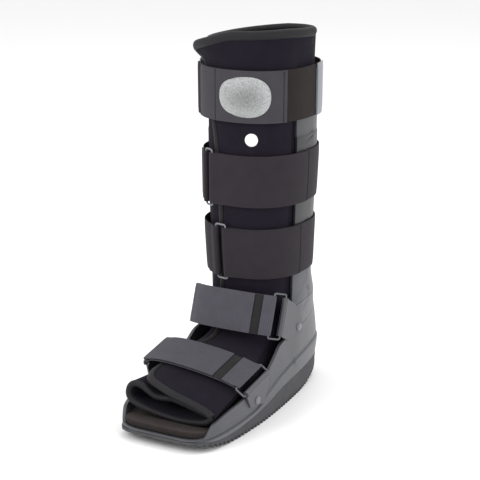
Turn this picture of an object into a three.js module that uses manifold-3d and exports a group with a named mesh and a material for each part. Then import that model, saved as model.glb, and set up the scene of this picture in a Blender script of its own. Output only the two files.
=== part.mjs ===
// A tall medical walking boot, in millimetres.
// The toe points along -Y, +X is the boot's outer side, +Z is up, and the floor is at Z = 0.
// While the boot is built, X = 0 and Y = 0 lie on the axis of the leg.

import * as THREE from 'three';
import { mergeVertices } from 'three/addons/utils/BufferGeometryUtils.js';
import Module from 'manifold-3d';

const wasm = await Module();
wasm.setup();

// Clearance between pieces that touch
const GAP = 0.35;

// Leg of the padded liner, measured on its outside
const BOOT_HEIGHT = 422;
const ANKLE_HEIGHT = 150;
const LEG_FRONT = 66;
const LEG_BACK = 62;
const LEG_HALF_WIDTH = 58;
const LEG_SQUARENESS = 2.3;

// Foot of the padded liner, measured on its outside
const FOOT_REACH = 200;
const FOOT_HALF_WIDTH = 54;
const FOOT_SQUARENESS = 2.8;
const LINER_WALL = 5;

// Front flap and the rolled bindings
const FLAP_THICKNESS = 4;
const COLLAR_LIP_RISE = 5;
const COLLAR_TIP_DROP = 16;
const COLLAR_FLARE = 9;
const COLLAR_SLOPE = 0.05;
const BINDING_WIDTH = 7;
const COLLAR_BINDING_HEIGHT = 6;

// Sole
const TOE_REACH = 231;
const HEEL_REACH = 89;
const SOLE_HALF_WIDTH = 65;
const HEEL_HALF_WIDTH = 51;
const SOLE_HEIGHT = 28;
const TREAD_PITCH = 10;
const TREAD_DEPTH = 2.5;
const SHELL_FLOOR = 2.6;
const INSOLE_THICKNESS = 8;
const INSOLE_INSET = 4.5;

// Rigid shell
const UPRIGHT_DROP = 34;
const UPRIGHT_TOP = BOOT_HEIGHT - UPRIGHT_DROP;
const UPRIGHT_FRONT = 24;
const UPRIGHT_BACK = 30;
const UPRIGHT_THICKNESS = 4;
const HEEL_CUP_HEIGHT = 122;
const RIDGE_HEIGHT = 1.2;

// Straps, rings and their tabs
const STRAP_THICKNESS = 1.6;
const LEG_STRAP_WIDTH = 59;
const ANKLE_STRAP_WIDTH = 46;
const TOE_STRAP_WIDTH = 50;
// Heights of the leg straps: the upper one lies a little below the middle of the other two.
const TOP_STRAP_DROP = 58;
const LOWER_STRAP_RISE = 32;
const UPPER_STRAP_DROP = 6;
const TOP_STRAP_HEIGHT = BOOT_HEIGHT - TOP_STRAP_DROP;
const LOWER_STRAP_HEIGHT = ANKLE_HEIGHT + LOWER_STRAP_RISE;
const UPPER_STRAP_HEIGHT = (TOP_STRAP_HEIGHT + LOWER_STRAP_HEIGHT) / 2 - UPPER_STRAP_DROP;
const RING_BAR_RADIUS = 1.5;
const RING_INNER_WIDTH = 9;
const RING_OVERHANG = 3;
const TAB_THICKNESS = 2;
const RIVET_RADIUS = 5;
const RIVET_HEIGHT = 1.6;

// Air pump in the top strap and the valve button below it
const PUMP_HALF_WIDTH = 28.5;
const PUMP_HALF_HEIGHT = 23;
const PUMP_RISE = 7;
const PUMP_ANGLE = 15.5;
const PANEL_FROM = -56;
const PANEL_TO = 58;
const BUTTON_RADIUS = 7.5;
const BUTTON_HEIGHT = 2.2;
const BUTTON_ANGLE = 20;
// The button lies just below the middle of the gap between the two straps.
const BUTTON_DROP = 0.5;

const AROUND = 36;
const STEP = 360 / AROUND;

// Sections of the liner's leg: up is the share of the height above the ankle, the rest
// are shares of LEG_FRONT, LEG_BACK and LEG_HALF_WIDTH. Slope raises the outer side.
const LEG_ROWS = [
  { up: 1, front: 1, back: 1, half: 1, slope: COLLAR_SLOPE },
  { up: 0.9, front: 1, back: 1, half: 0.99 },
  { up: 0.575, front: 1, back: 1, half: 0.975 },
  { up: 0.26, front: 1, back: 0.92, half: 0.94 },
  { up: 0, front: 0.93, back: 0.86, half: 0.9 },
];

// Sections of the liner's foot, fanned round the ankle: y columns are shares of FOOT_REACH,
// z columns shares of ANKLE_HEIGHT, half a share of FOOT_HALF_WIDTH. A row with seated set
// rests on the insole. Tilt lowers the outer side of the section's top.
const FOOT_ROWS = [
  { frontY: -0.3, frontZ: 0.8, backY: 0.31, backZ: 0.72, half: 0.926, tilt: 0 },
  { frontY: -0.325, frontZ: 0.665, backY: 0.36, backZ: 0.467, half: 0.87, tilt: 0 },
  { frontY: -0.37, frontZ: 0.575, backY: 0.31, backZ: 0.305, half: 0.833, tilt: 0 },
  { frontY: -0.44, frontZ: 0.53, backY: 0.05, seated: true, half: 0.833, tilt: 0.02 },
  { frontY: -0.55, frontZ: 0.5, backY: -0.284, seated: true, half: 0.889, tilt: 0.06 },
  { frontY: -0.7, frontZ: 0.445, backY: -0.56, seated: true, half: 0.944, tilt: 0.12 },
  { frontY: -0.85, frontZ: 0.385, backY: -0.81, seated: true, half: 0.98, tilt: 0.16 },
  { frontY: -0.965, frontZ: 0.32, backY: -1, seated: true, half: 1, tilt: 0.22 },
];

// The flap keeps its height over the toes, where the liner under it sags.
const FLAP_TOE_ROWS = [
  { frontY: -0.85, frontZ: 0.4, backY: -0.81, seated: true, half: 0.98, tilt: 0.16 },
  { frontY: -0.965, frontZ: 0.365, backY: -0.95, seated: true, half: 0.98, tilt: 0.2 },
  { frontY: -1.005, frontZ: 0.35, backY: -1, seated: true, half: 0.96, tilt: 0.22 },
];

// Edges of the front flap in degrees round the leg, one row for each row above.
const FLAP_LEG_EDGES = [
  { left: -53, right: 78 },
  { left: -38, right: 66 },
  { left: -15, right: 66 },
  { left: -9, right: 66 },
  { left: -11, right: 64 },
];
const FLAP_FOOT_EDGES = [
  { left: -11, right: 60 },
  { left: -9, right: 56 },
  { left: -8, right: 48 },
  { left: -9, right: 54 },
  { left: -12, right: 68 },
  { left: -16, right: 78 },
  { left: -19, right: 82 },
  { left: -22, right: 90 },
  { left: -20, right: 96 },
];

// Side view of the sole: along is the share of its length from the toe, bottom and top are
// shares of SOLE_HEIGHT.
const SOLE_ROWS = [
  { along: 0, bottom: 0.36, top: 0.47 },
  { along: 0.06, bottom: 0.19, top: 0.4 },
  { along: 0.11, bottom: 0.09, top: 0.34 },
  { along: 0.17, bottom: 0.02, top: 0.36 },
  { along: 0.26, bottom: 0, top: 0.46 },
  { along: 0.42, bottom: 0, top: 0.71 },
  { along: 0.55, bottom: 0, top: 0.92 },
  { along: 0.7, bottom: 0, top: 0.965 },
  { along: 0.78, bottom: 0.05, top: 0.98 },
  { along: 0.87, bottom: 0.22, top: 1 },
  { along: 1, bottom: 0.55, top: 1.07 },
];

// Outside of the shell's foot at several heights: z is a share of ANKLE_HEIGHT, toe and heel
// are shares of TOE_REACH and HEEL_REACH, ball and back of the two half widths.
const SHELL_ROWS = [
  { z: 0, toe: 0.98, heel: 0.88, ball: 0.94, back: 0.9, front: 5.5, rear: 3 },
  { z: 0.08, toe: 0.996, heel: 0.95, ball: 0.985, back: 0.98, front: 5.5, rear: 3 },
  { z: 0.19, toe: 1, heel: 1, ball: 1, back: 1.03, front: 5.5, rear: 3 },
  { z: 0.34, toe: 0.97, heel: 1, ball: 0.965, back: 1.08, front: 5, rear: 2.9 },
  { z: 0.54, toe: 0.88, heel: 0.96, ball: 0.93, back: 1.09, front: 4, rear: 2.7 },
];

// Top edge of the shell's side wall: y is a share of TOE_REACH, z a share of ANKLE_HEIGHT.
const WALL_EDGE = [
  { y: -0.93, z: 0.09 },
  { y: -0.905, z: 0.2 },
  { y: -0.77, z: 0.25 },
  { y: -0.63, z: 0.28 },
  { y: -0.41, z: 0.355 },
  { y: -0.25, z: 0.515 },
  { y: -0.135, z: 0.53 },
];

// Ridge along the shell's side, from the toe to the heel, in the same shares.
const RIDGE_LINE = [
  { y: -1.1, z: 0.07 },
  { y: -0.56, z: 0.12 },
  { y: -0.42, z: 0.2 },
  { y: -0.2, z: 0.275 },
  { y: 0.13, z: 0.335 },
  { y: 0.5, z: 0.35 },
];

const radians = THREE.MathUtils.degToRad;
const lerp = THREE.MathUtils.lerp;

// Signed power that squares off an ellipse
function squared(value, squareness) {
  return Math.sign(value) * Math.abs(value) ** (2 / squareness);
}

// Value of one column at a place along a table whose rows rise in another column
function readTable(rows, place, along, column) {
  let last = rows.length - 1;
  if (place <= rows[0][along]) return rows[0][column];
  for (let i = 1; i <= last; i += 1) {
    if (place <= rows[i][along]) {
      const share = (place - rows[i - 1][along]) / (rows[i][along] - rows[i - 1][along]);
      return lerp(rows[i - 1][column], rows[i][column], share);
    }
  }
  return rows[last][column];
}

// Heights of the sole's bottom and top, and of the insole's top, at a place along Y
function soleAt(y, column) {
  const along = (y + TOE_REACH) / (TOE_REACH + HEEL_REACH);
  return SOLE_HEIGHT * readTable(SOLE_ROWS, along, 'along', column);
}

function floorTopAt(y) {
  return soleAt(y, 'top') + GAP + SHELL_FLOOR;
}

function insoleTopAt(y) {
  return floorTopAt(y) + GAP + INSOLE_THICKNESS;
}

// A section holds its front and back points in the Y Z plane, its half width and squareness.
function legSection(row) {
  const z = ANKLE_HEIGHT + row.up * (BOOT_HEIGHT - ANKLE_HEIGHT);
  return {
    front: new THREE.Vector2(-LEG_FRONT * row.front, z),
    back: new THREE.Vector2(LEG_BACK * row.back, z),
    half: LEG_HALF_WIDTH * row.half,
    square: LEG_SQUARENESS,
    tilt: 0,
    slope: row.slope ?? 0,
  };
}

function footSection(row) {
  const backY = FOOT_REACH * row.backY;
  const backZ = row.seated ? insoleTopAt(backY) + 2 * GAP : ANKLE_HEIGHT * row.backZ;
  return {
    front: new THREE.Vector2(FOOT_REACH * row.frontY, ANKLE_HEIGHT * row.frontZ),
    back: new THREE.Vector2(backY, backZ),
    half: FOOT_HALF_WIDTH * row.half,
    square: FOOT_SQUARENESS,
    tilt: row.tilt,
    slope: 0,
  };
}

// Section of the leg at any height, from the table's rows
function legSectionAt(z) {
  const up = (z - ANKLE_HEIGHT) / (BOOT_HEIGHT - ANKLE_HEIGHT);
  const rising = [...LEG_ROWS].reverse();
  const row = { up };
  for (const column of ['front', 'back', 'half']) row[column] = readTable(rising, up, 'up', column);
  return legSection(row);
}

// Point on a section at a multiple of STEP degrees: 0 is the front, 90 the boot's outer side
function gridPoint(section, angle, out) {
  const { front, back, half, square, tilt, slope } = section;
  const middle = front.clone().add(back).multiplyScalar(0.5);
  const reach = front.clone().sub(middle);
  reach.setLength(reach.length() + out);
  const forward = squared(Math.cos(radians(angle)), square);
  const x = (half + out) * squared(Math.sin(radians(angle)), square);
  const drop = tilt * x * Math.max(0, forward) - slope * x;
  return new THREE.Vector3(x, middle.x + reach.x * forward, middle.y + reach.y * forward - drop);
}

// Point on a section at any angle, on the straight facet between two grid points
function sectionPoint(section, angle, out) {
  const low = Math.floor(angle / STEP) * STEP;
  const start = gridPoint(section, low, out);
  return start.lerp(gridPoint(section, low + STEP, out), (angle - low) / STEP);
}

// Angles from one to another with all grid angles between them
function anglesBetween(from, to) {
  const angles = [from];
  for (let a = Math.floor(from / STEP) * STEP + STEP; a < to - 0.5; a += STEP) {
    if (a > from + 0.5) angles.push(a);
  }
  angles.push(to);
  return angles;
}

// Closed body from a grid of points that closes on itself in both directions or has ends
function gridBody(rings, ringCloses, stackCloses) {
  const count = rings[0].length;
  const positions = [];
  const index = [];
  for (const ring of rings) for (const p of ring) positions.push(p.x, p.y, p.z);
  const stacks = stackCloses ? rings.length : rings.length - 1;
  const columns = ringCloses ? count : count - 1;
  for (let r = 0; r < stacks; r += 1) {
    const next = (r + 1) % rings.length;
    for (let c = 0; c < columns; c += 1) {
      const a = r * count + c;
      const b = r * count + ((c + 1) % count);
      const d = next * count + c;
      const e = next * count + ((c + 1) % count);
      index.push(a, b, e, a, e, d);
    }
  }
  if (!stackCloses) {
    capRing(positions, index, rings[0], 0, true);
    capRing(positions, index, rings.at(-1), (rings.length - 1) * count, false);
  }
  const geometry = new THREE.BufferGeometry();
  geometry.setAttribute('position', new THREE.Float32BufferAttribute(positions, 3));
  geometry.setIndex(index);
  return outward(geometry);
}

// Flat or gently bent cap: a fan from the middle of the ring
function capRing(positions, index, ring, first, flip) {
  const middle = new THREE.Vector3();
  for (const p of ring) middle.addScaledVector(p, 1 / ring.length);
  const centre = positions.length / 3;
  positions.push(middle.x, middle.y, middle.z);
  for (let c = 0; c < ring.length; c += 1) {
    const a = first + c;
    const b = first + ((c + 1) % ring.length);
    if (flip) index.push(centre, b, a);
    else index.push(centre, a, b);
  }
}

// Turns every face of a closed body outward
function outward(geometry) {
  const p = geometry.getAttribute('position');
  const faces = geometry.getIndex().array;
  const [a, b, c] = [new THREE.Vector3(), new THREE.Vector3(), new THREE.Vector3()];
  let volume = 0;
  for (let i = 0; i < faces.length; i += 3) {
    a.fromBufferAttribute(p, faces[i]);
    b.fromBufferAttribute(p, faces[i + 1]);
    c.fromBufferAttribute(p, faces[i + 2]);
    volume += a.dot(b.cross(c));
  }
  if (volume < 0) {
    for (let i = 0; i < faces.length; i += 3) {
      [faces[i], faces[i + 1]] = [faces[i + 1], faces[i]];
    }
  }
  return geometry;
}

// Conversions between three.js geometry and solids that can be joined and cut
function toSolid(geometry) {
  let plain = geometry.clone();
  plain.deleteAttribute('normal');
  plain.deleteAttribute('uv');
  plain = mergeVertices(plain, 1e-4);
  return new wasm.Manifold(new wasm.Mesh({
    numProp: 3,
    vertProperties: new Float32Array(plain.getAttribute('position').array),
    triVerts: new Uint32Array(plain.getIndex().array),
  }));
}

function toGeometry(solid) {
  const mesh = solid.getMesh();
  const geometry = new THREE.BufferGeometry();
  geometry.setAttribute('position', new THREE.BufferAttribute(new Float32Array(mesh.vertProperties), 3));
  geometry.setIndex(new THREE.BufferAttribute(new Uint32Array(mesh.triVerts), 1));
  return geometry;
}

// Solid with a side view given by Y Z points, from one X to another
function sidePrism(points, fromX, toX) {
  const shape = new THREE.Shape(points.map((p) => new THREE.Vector2(p[0], p[1])));
  const geometry = new THREE.ExtrudeGeometry(shape, { depth: toX - fromX, bevelEnabled: false });
  const turn = new THREE.Matrix4().makeBasis(
    new THREE.Vector3(0, 1, 0),
    new THREE.Vector3(0, 0, 1),
    new THREE.Vector3(1, 0, 0),
  );
  geometry.applyMatrix4(turn.setPosition(fromX, 0, 0));
  return toSolid(geometry);
}

// Round rod between two points, as a solid
function rod(from, to, radius, sides) {
  const along = to.clone().sub(from);
  const geometry = new THREE.CylinderGeometry(radius, radius, along.length(), sides);
  const turn = new THREE.Quaternion().setFromUnitVectors(new THREE.Vector3(0, 1, 0), along.normalize());
  geometry.applyQuaternion(turn);
  const middle = from.clone().add(to).multiplyScalar(0.5);
  geometry.translate(middle.x, middle.y, middle.z);
  return toSolid(geometry);
}

// Liner: one padded tube from the collar, round the heel, to the open toe
function linerSections() {
  return [...LEG_ROWS.map(legSection), ...FOOT_ROWS.map(footSection)];
}

function fullRing(section, out) {
  const ring = [];
  for (let i = 0; i < AROUND; i += 1) ring.push(gridPoint(section, i * STEP, out));
  return ring;
}

function buildLiner() {
  const sections = linerSections();
  const outside = sections.map((section) => fullRing(section, 0));
  const inside = sections.map((section) => fullRing(section, -LINER_WALL)).reverse();
  return gridBody([...outside, ...inside], true, true);
}

// Solid that fills the liner's outside grown by a clearance
function linerFill(out) {
  const sections = linerSections();
  return toSolid(gridBody(sections.map((section) => fullRing(section, out)), true, false));
}

// Front flap: a padded sheet over the liner's front, instep and toes
function flapRows() {
  const leg = LEG_ROWS.map((row, i) => ({ section: legSection(row), ...FLAP_LEG_EDGES[i] }));
  const footRows = [...FOOT_ROWS.slice(0, -2), ...FLAP_TOE_ROWS];
  const foot = footRows.map((row, i) => ({ section: footSection(row), ...FLAP_FOOT_EDGES[i] }));
  return [...leg, ...foot];
}

// The lip rises above the collar in front and drops to a tip on the inner side.
function lipRise(angle, edge) {
  return COLLAR_LIP_RISE - COLLAR_TIP_DROP * Math.max(0, -angle) / Math.abs(edge);
}

// The tip also stands away from the collar.
function lipFlare(angle, edge) {
  return COLLAR_FLARE * Math.max(0, -angle) / Math.abs(edge);
}

function flapPoint(rows, i, share, out) {
  const { section, left, right } = rows[i];
  const angle = lerp(left, right, share);
  const point = sectionPoint(section, angle, out + (i === 0 ? lipFlare(angle, left) : 0));
  if (i === 0) point.z += lipRise(angle, left);
  return point;
}

const FLAP_COLUMNS = 12;

function buildFlap() {
  const rows = flapRows();
  const rings = rows.map((row, i) => {
    const ring = [];
    for (let c = 0; c <= FLAP_COLUMNS; c += 1) {
      ring.push(flapPoint(rows, i, c / FLAP_COLUMNS, GAP + FLAP_THICKNESS));
    }
    for (let c = FLAP_COLUMNS; c >= 0; c -= 1) ring.push(flapPoint(rows, i, c / FLAP_COLUMNS, 3 * GAP));
    return ring;
  });
  return gridBody(rings, true, false);
}

// Tube with a flattened section that follows a path, its thickness along the given outward
// directions and its width across them
function boundEdge(path, outs, width, heights, closes) {
  const sides = 6;
  const rings = path.map((point, i) => {
    const before = path[closes ? (i + path.length - 1) % path.length : Math.max(0, i - 1)];
    const after = path[closes ? (i + 1) % path.length : Math.min(path.length - 1, i + 1)];
    const along = after.clone().sub(before).normalize();
    const out = outs[i].clone().addScaledVector(along, -outs[i].dot(along)).normalize();
    const across = new THREE.Vector3().crossVectors(along, out);
    const ring = [];
    for (let s = 0; s < sides; s += 1) {
      const angle = (2 * Math.PI * (s + 0.5)) / sides;
      ring.push(point.clone()
        .addScaledVector(across, (width / 2) * Math.cos(angle))
        .addScaledVector(out, (heights[i] / 2) * Math.sin(angle)));
    }
    return ring;
  });
  return gridBody(rings, true, closes);
}

// Rolled binding round the collar's rim
function buildCollarBinding() {
  const rim = legSection(LEG_ROWS[0]);
  const lift = COLLAR_BINDING_HEIGHT / 2 + GAP;
  const path = [];
  const outs = [];
  for (let i = 0; i < AROUND; i += 1) {
    const outer = gridPoint(rim, i * STEP, 0);
    const inner = gridPoint(rim, i * STEP, -LINER_WALL);
    path.push(outer.clone().add(inner).multiplyScalar(0.5).add(new THREE.Vector3(0, 0, lift)));
    outs.push(outer.sub(inner));
  }
  return boundEdge(path, outs, COLLAR_BINDING_HEIGHT, path.map(() => LINER_WALL), true);
}

// Angle at a distance beside another one on a section, towards the boot's inner side
function angleBeside(section, angle, distance, out) {
  const start = sectionPoint(section, angle, out);
  let beside = angle;
  while (sectionPoint(section, beside, out).distanceTo(start) < distance) beside -= 0.5;
  return beside;
}

// Room between the flap's slanting edge and its binding near the tip
const TIP_ROOM = 4.8;

// Rolled binding along the flap's free edge: from the lip's outer end to the tip, down the
// inner side of the leg and instep, and round the toes
function buildFlapBinding() {
  const rows = flapRows();
  const reach = BINDING_WIDTH / 2 + GAP;
  const path = [];
  const outs = [];
  const heights = [];
  const add = (section, angle, out, shift, height) => {
    path.push(sectionPoint(section, angle, out).add(shift));
    outs.push(sectionPoint(section, angle, out + 1).sub(sectionPoint(section, angle, out)));
    heights.push(height);
  };
  const middle = 2.6 * GAP + FLAP_THICKNESS / 2;
  const top = rows[0];
  for (let c = FLAP_COLUMNS; c > 0; c -= 1) {
    const angle = lerp(top.left, top.right, c / FLAP_COLUMNS);
    const rise = lipRise(angle, top.left) + reach;
    const out = middle + GAP + lipFlare(angle, top.left);
    add(top.section, angle, out, new THREE.Vector3(0, 0, rise), FLAP_THICKNESS);
  }
  rows.forEach((row, i) => {
    const fall = new THREE.Vector3(0, 0, i === 0 ? lipRise(row.left, row.left) : 0);
    const flare = i === 0 ? lipFlare(row.left, row.left) : 0;
    const spare = i === 0 ? TIP_ROOM : 3 * GAP * Math.floor(i / (rows.length - 1));
    const beside = angleBeside(row.section, row.left, reach + GAP + spare, middle + flare);
    add(row.section, beside, middle + flare, fall, FLAP_THICKNESS - 2 * GAP);
    if (i + 1 < LEG_ROWS.length) {
      const halfway = legSectionAt((row.section.front.y + rows[i + 1].section.front.y) / 2);
      const left = (row.left + rows[i + 1].left) / 2;
      const between = angleBeside(halfway, left, reach + GAP + spare, middle);
      const out = middle + flare / 2;
      add(halfway, between, out, fall.multiplyScalar(0.5), FLAP_THICKNESS - 2 * GAP);
    }
  });
  const end = rows.at(-1);
  for (let c = 0; c <= FLAP_COLUMNS; c += 1) {
    const angle = lerp(end.left, end.right - 10, c / FLAP_COLUMNS);
    add(end.section, angle, middle, new THREE.Vector3(0, -reach - GAP, 0), FLAP_THICKNESS);
  }
  return boundEdge(path, outs, BINDING_WIDTH, heights, false);
}

// Half width of the shell before its ends are rounded: narrow at the heel, wide at the ball
function shellHalf(row, forward) {
  return lerp(row.back, row.ball, THREE.MathUtils.smoothstep(forward, -0.75, 0.35));
}

// Outside of the shell at one height, as an outline with squared ends
function shellRing(row, out) {
  const middle = (row.heel - row.toe) / 2;
  const reach = (row.heel + row.toe) / 2 + out;
  const ring = [];
  for (let i = 0; i < AROUND; i += 1) {
    const angle = radians(i * STEP);
    const square = Math.cos(angle) > 0 ? row.front : row.rear;
    const forward = squared(Math.cos(angle), square);
    const half = shellHalf(row, forward) + out;
    ring.push(new THREE.Vector3(half * squared(Math.sin(angle), square), middle - reach * forward, row.z));
  }
  return ring;
}

function shellSections() {
  const foot = SHELL_ROWS.map((row) => ({
    z: ANKLE_HEIGHT * row.z,
    toe: TOE_REACH * row.toe,
    heel: HEEL_REACH * row.heel,
    ball: SOLE_HALF_WIDTH * row.ball,
    back: HEEL_HALF_WIDTH * row.back,
    front: row.front,
    rear: row.rear,
  }));
  const heights = [HEEL_CUP_HEIGHT, ...LEG_ROWS.map((row) => legSection(row).front.y).reverse()];
  const skin = UPRIGHT_THICKNESS + GAP;
  const leg = heights.filter((z) => z < UPRIGHT_TOP).concat(UPRIGHT_TOP + 1).map((z) => {
    const section = legSectionAt(z);
    const slack = Math.max(0, HEEL_CUP_HEIGHT + 1 - z) * 8;
    return {
      z,
      toe: skin - section.front.x,
      heel: skin + section.back.x + slack,
      ball: section.half + skin,
      back: section.half + skin,
      front: LEG_SQUARENESS,
      rear: LEG_SQUARENESS,
    };
  });
  return [...foot, ...leg];
}

function shellFill(out) {
  const rings = shellSections().map((row) => shellRing(row, out));
  return toSolid(gridBody(rings, true, false));
}

// Half width of the shell's outside at a place, on the facets between two of its sections
function shellHalfAt(y, z) {
  const rows = shellSections();
  const upper = Math.max(1, rows.findIndex((row) => row.z >= z));
  const halves = [rows[upper - 1], rows[upper]].map((row) => {
    const side = shellRing(row, 0).slice(0, AROUND / 2 + 1);
    return readTable(side, y, 'y', 'x');
  });
  return lerp(halves[0], halves[1], (z - rows[upper - 1].z) / (rows[upper].z - rows[upper - 1].z));
}

// Places along Y where the sole's side view bends
function soleBends() {
  return SOLE_ROWS.map((row) => row.along * (TOE_REACH + HEEL_REACH) - TOE_REACH);
}

const REACH_PAST = 12;
const WIDE = 2 * SOLE_HALF_WIDTH;

// Side view of the whole shell: floor, side wall, upright and heel cup
function shellSideView() {
  const corner = 8;
  const under = soleBends().map((y) => [y, soleAt(y, 'top') + GAP]);
  under[0][0] -= REACH_PAST;
  under.at(-1)[0] += REACH_PAST;
  const wall = WALL_EDGE.map((p) => [TOE_REACH * p.y, ANKLE_HEIGHT * p.z]);
  const toeFloor = soleBends().filter((y) => y < wall[0][0] - 1).map((y) => [y, floorTopAt(y)]);
  toeFloor[0][0] -= REACH_PAST;
  const upright = [
    [-UPRIGHT_FRONT, wall.at(-1)[1] + corner],
    [-UPRIGHT_FRONT, UPRIGHT_TOP - corner],
    [-UPRIGHT_FRONT + corner, UPRIGHT_TOP],
    [UPRIGHT_BACK - corner, UPRIGHT_TOP],
    [UPRIGHT_BACK, UPRIGHT_TOP - corner],
    [UPRIGHT_BACK, HEEL_CUP_HEIGHT + 4 * corner],
    [UPRIGHT_BACK + corner, HEEL_CUP_HEIGHT + corner],
    [UPRIGHT_BACK + 3 * corner, HEEL_CUP_HEIGHT],
    [HEEL_REACH + REACH_PAST, HEEL_CUP_HEIGHT],
  ];
  return [...under, ...upright.reverse(), ...wall.reverse(), ...toeFloor.reverse()];
}

// Space that the insole takes, grown by a clearance
function insoleFill(clear) {
  const ys = soleBends();
  const low = ys.map((y) => [y, floorTopAt(y) + GAP - clear]);
  const high = ys.map((y) => [y, insoleTopAt(y) + clear]).reverse();
  return shellFill(clear - INSOLE_INSET).intersect(sidePrism([...low, ...high], -WIDE, WIDE));
}

// Room above the insole in front of the liner's toe end
function toeRoom() {
  const from = -0.82 * FOOT_REACH;
  const view = [
    [-TOE_REACH - REACH_PAST, 0],
    ...soleBends().filter((y) => y < from).map((y) => [y, floorTopAt(y) + 1]),
    [from, floorTopAt(from) + 1],
    [from, ANKLE_HEIGHT],
    [-TOE_REACH - REACH_PAST, ANKLE_HEIGHT],
  ];
  return shellFill(GAP - INSOLE_INSET).intersect(sidePrism(view, -WIDE, WIDE));
}

function buildShell() {
  const line = RIDGE_LINE.map((p) => [TOE_REACH * p.y, ANKLE_HEIGHT * p.z]);
  const below = [[line[0][0], -REACH_PAST], [line.at(-1)[0], -REACH_PAST], ...line.reverse()];
  const proud = shellFill(RIDGE_HEIGHT).intersect(sidePrism(below, -WIDE, WIDE));
  const outside = shellFill(0).add(proud).intersect(sidePrism(shellSideView(), -WIDE, WIDE));
  const hollow = linerFill(GAP).add(insoleFill(GAP)).add(toeRoom());
  return toGeometry(largestPiece(outside.subtract(hollow)));
}

// The main body of a cut solid, without loose slivers
function largestPiece(solid) {
  const pieces = solid.decompose();
  pieces.sort((a, b) => b.volume() - a.volume());
  return pieces[0];
}

// Outsole with a row of tread lugs across it
function buildOutsole() {
  const length = TOE_REACH + HEEL_REACH;
  const lugs = Math.round(length / TREAD_PITCH);
  const under = [];
  for (let i = 0; i < lugs; i += 1) {
    for (const [share, rise] of [[0, 0], [0.55, 0], [0.66, TREAD_DEPTH], [0.9, TREAD_DEPTH]]) {
      const y = -TOE_REACH + ((i + share) * length) / lugs;
      const thickness = soleAt(y, 'top') - soleAt(y, 'bottom');
      under.push([y, soleAt(y, 'bottom') + Math.min(rise, thickness / 2)]);
    }
  }
  under[0][0] -= REACH_PAST;
  under.push([HEEL_REACH + REACH_PAST, soleAt(HEEL_REACH, 'bottom')]);
  const over = soleBends().map((y) => [y, soleAt(y, 'top')]);
  over[0][0] -= REACH_PAST;
  over.at(-1)[0] += REACH_PAST;
  const sideView = sidePrism([...under, ...over.reverse()], -WIDE, WIDE);
  return toGeometry(shellFill(RIDGE_HEIGHT).intersect(sideView));
}

// Strap band round the leg between two angles, two heights and two distances from the liner
function legBand(from, to, low, high, inner, outer) {
  const [bottom, top] = [legSectionAt(low), legSectionAt(high)];
  const rings = anglesBetween(from, to).map((angle) => [
    sectionPoint(bottom, angle, inner),
    sectionPoint(top, angle, inner),
    sectionPoint(top, angle, outer),
    sectionPoint(bottom, angle, outer),
  ]);
  return toSolid(gridBody(rings, true, false));
}

const STRAP_IN = UPRIGHT_THICKNESS + 3 * GAP;
const LOOP_RADIUS = RING_BAR_RADIUS + GAP + STRAP_THICKNESS;
const LOOP_SIDES = 8;

// Upright line beside the leg at one angle, as two end points
function legLine(angle, height, reach) {
  const out = STRAP_IN + LOOP_RADIUS;
  return [height - reach, height + reach].map((z) => sectionPoint(legSectionAt(z), angle, out));
}

// Angle that a ring's width spans round the leg
function ringSpan(height) {
  const radius = legSectionAt(height).half + STRAP_IN + LOOP_RADIUS;
  return THREE.MathUtils.radToDeg((RING_INNER_WIDTH + 2 * RING_BAR_RADIUS) / radius);
}

// Leg strap: round the leg from the ring to the ring, and folded back on itself to its tail
function buildLegStrap(height, ringAngle, tailAngle) {
  const [low, high] = [height - LEG_STRAP_WIDTH / 2, height + LEG_STRAP_WIDTH / 2];
  const far = ringAngle - ringSpan(height);
  let strap = legBand(ringAngle, far + 360, low, high, STRAP_IN, STRAP_IN + STRAP_THICKNESS);
  const fold = STRAP_IN + 2 * STRAP_THICKNESS;
  strap = strap.add(legBand(ringAngle, tailAngle, low, high, STRAP_IN, fold));
  for (const angle of [ringAngle, far]) {
    const [start, end] = legLine(angle, height, LEG_STRAP_WIDTH / 2);
    strap = strap.add(rod(start, end, LOOP_RADIUS, LOOP_SIDES));
  }
  for (const angle of [ringAngle, far]) {
    const [start, end] = legLine(angle, height, LEG_STRAP_WIDTH / 2 + 1);
    strap = strap.subtract(rod(start, end, RING_BAR_RADIUS + GAP, LOOP_SIDES));
  }
  return toGeometry(strap);
}

// Wire ring of two long bars joined by two short ones, mitred at its corners
function ringFrom(first, second) {
  const corners = [first[0], first[1], second[1], second[0]];
  const [up, over] = [first[1].clone().sub(first[0]), second[0].clone().sub(first[0])];
  const face = new THREE.Vector3().crossVectors(up, over).normalize();
  const rings = corners.map((corner, i) => {
    const before = corners[(i + 3) % 4].clone().sub(corner).normalize();
    const after = corners[(i + 1) % 4].clone().sub(corner).normalize();
    const mitre = before.add(after).negate();
    const ring = [];
    for (let s = 0; s < LOOP_SIDES; s += 1) {
      const angle = (2 * Math.PI * (s + 0.5)) / LOOP_SIDES;
      ring.push(corner.clone()
        .addScaledVector(mitre, RING_BAR_RADIUS * Math.cos(angle))
        .addScaledVector(face, RING_BAR_RADIUS * Math.sin(angle)));
    }
    return ring;
  });
  return gridBody(rings, true, true);
}

function buildLegRing(height, ringAngle) {
  const reach = LEG_STRAP_WIDTH / 2 + RING_OVERHANG;
  const far = ringAngle - ringSpan(height);
  return ringFrom(legLine(ringAngle, height, reach), legLine(far, height, reach));
}

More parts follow.
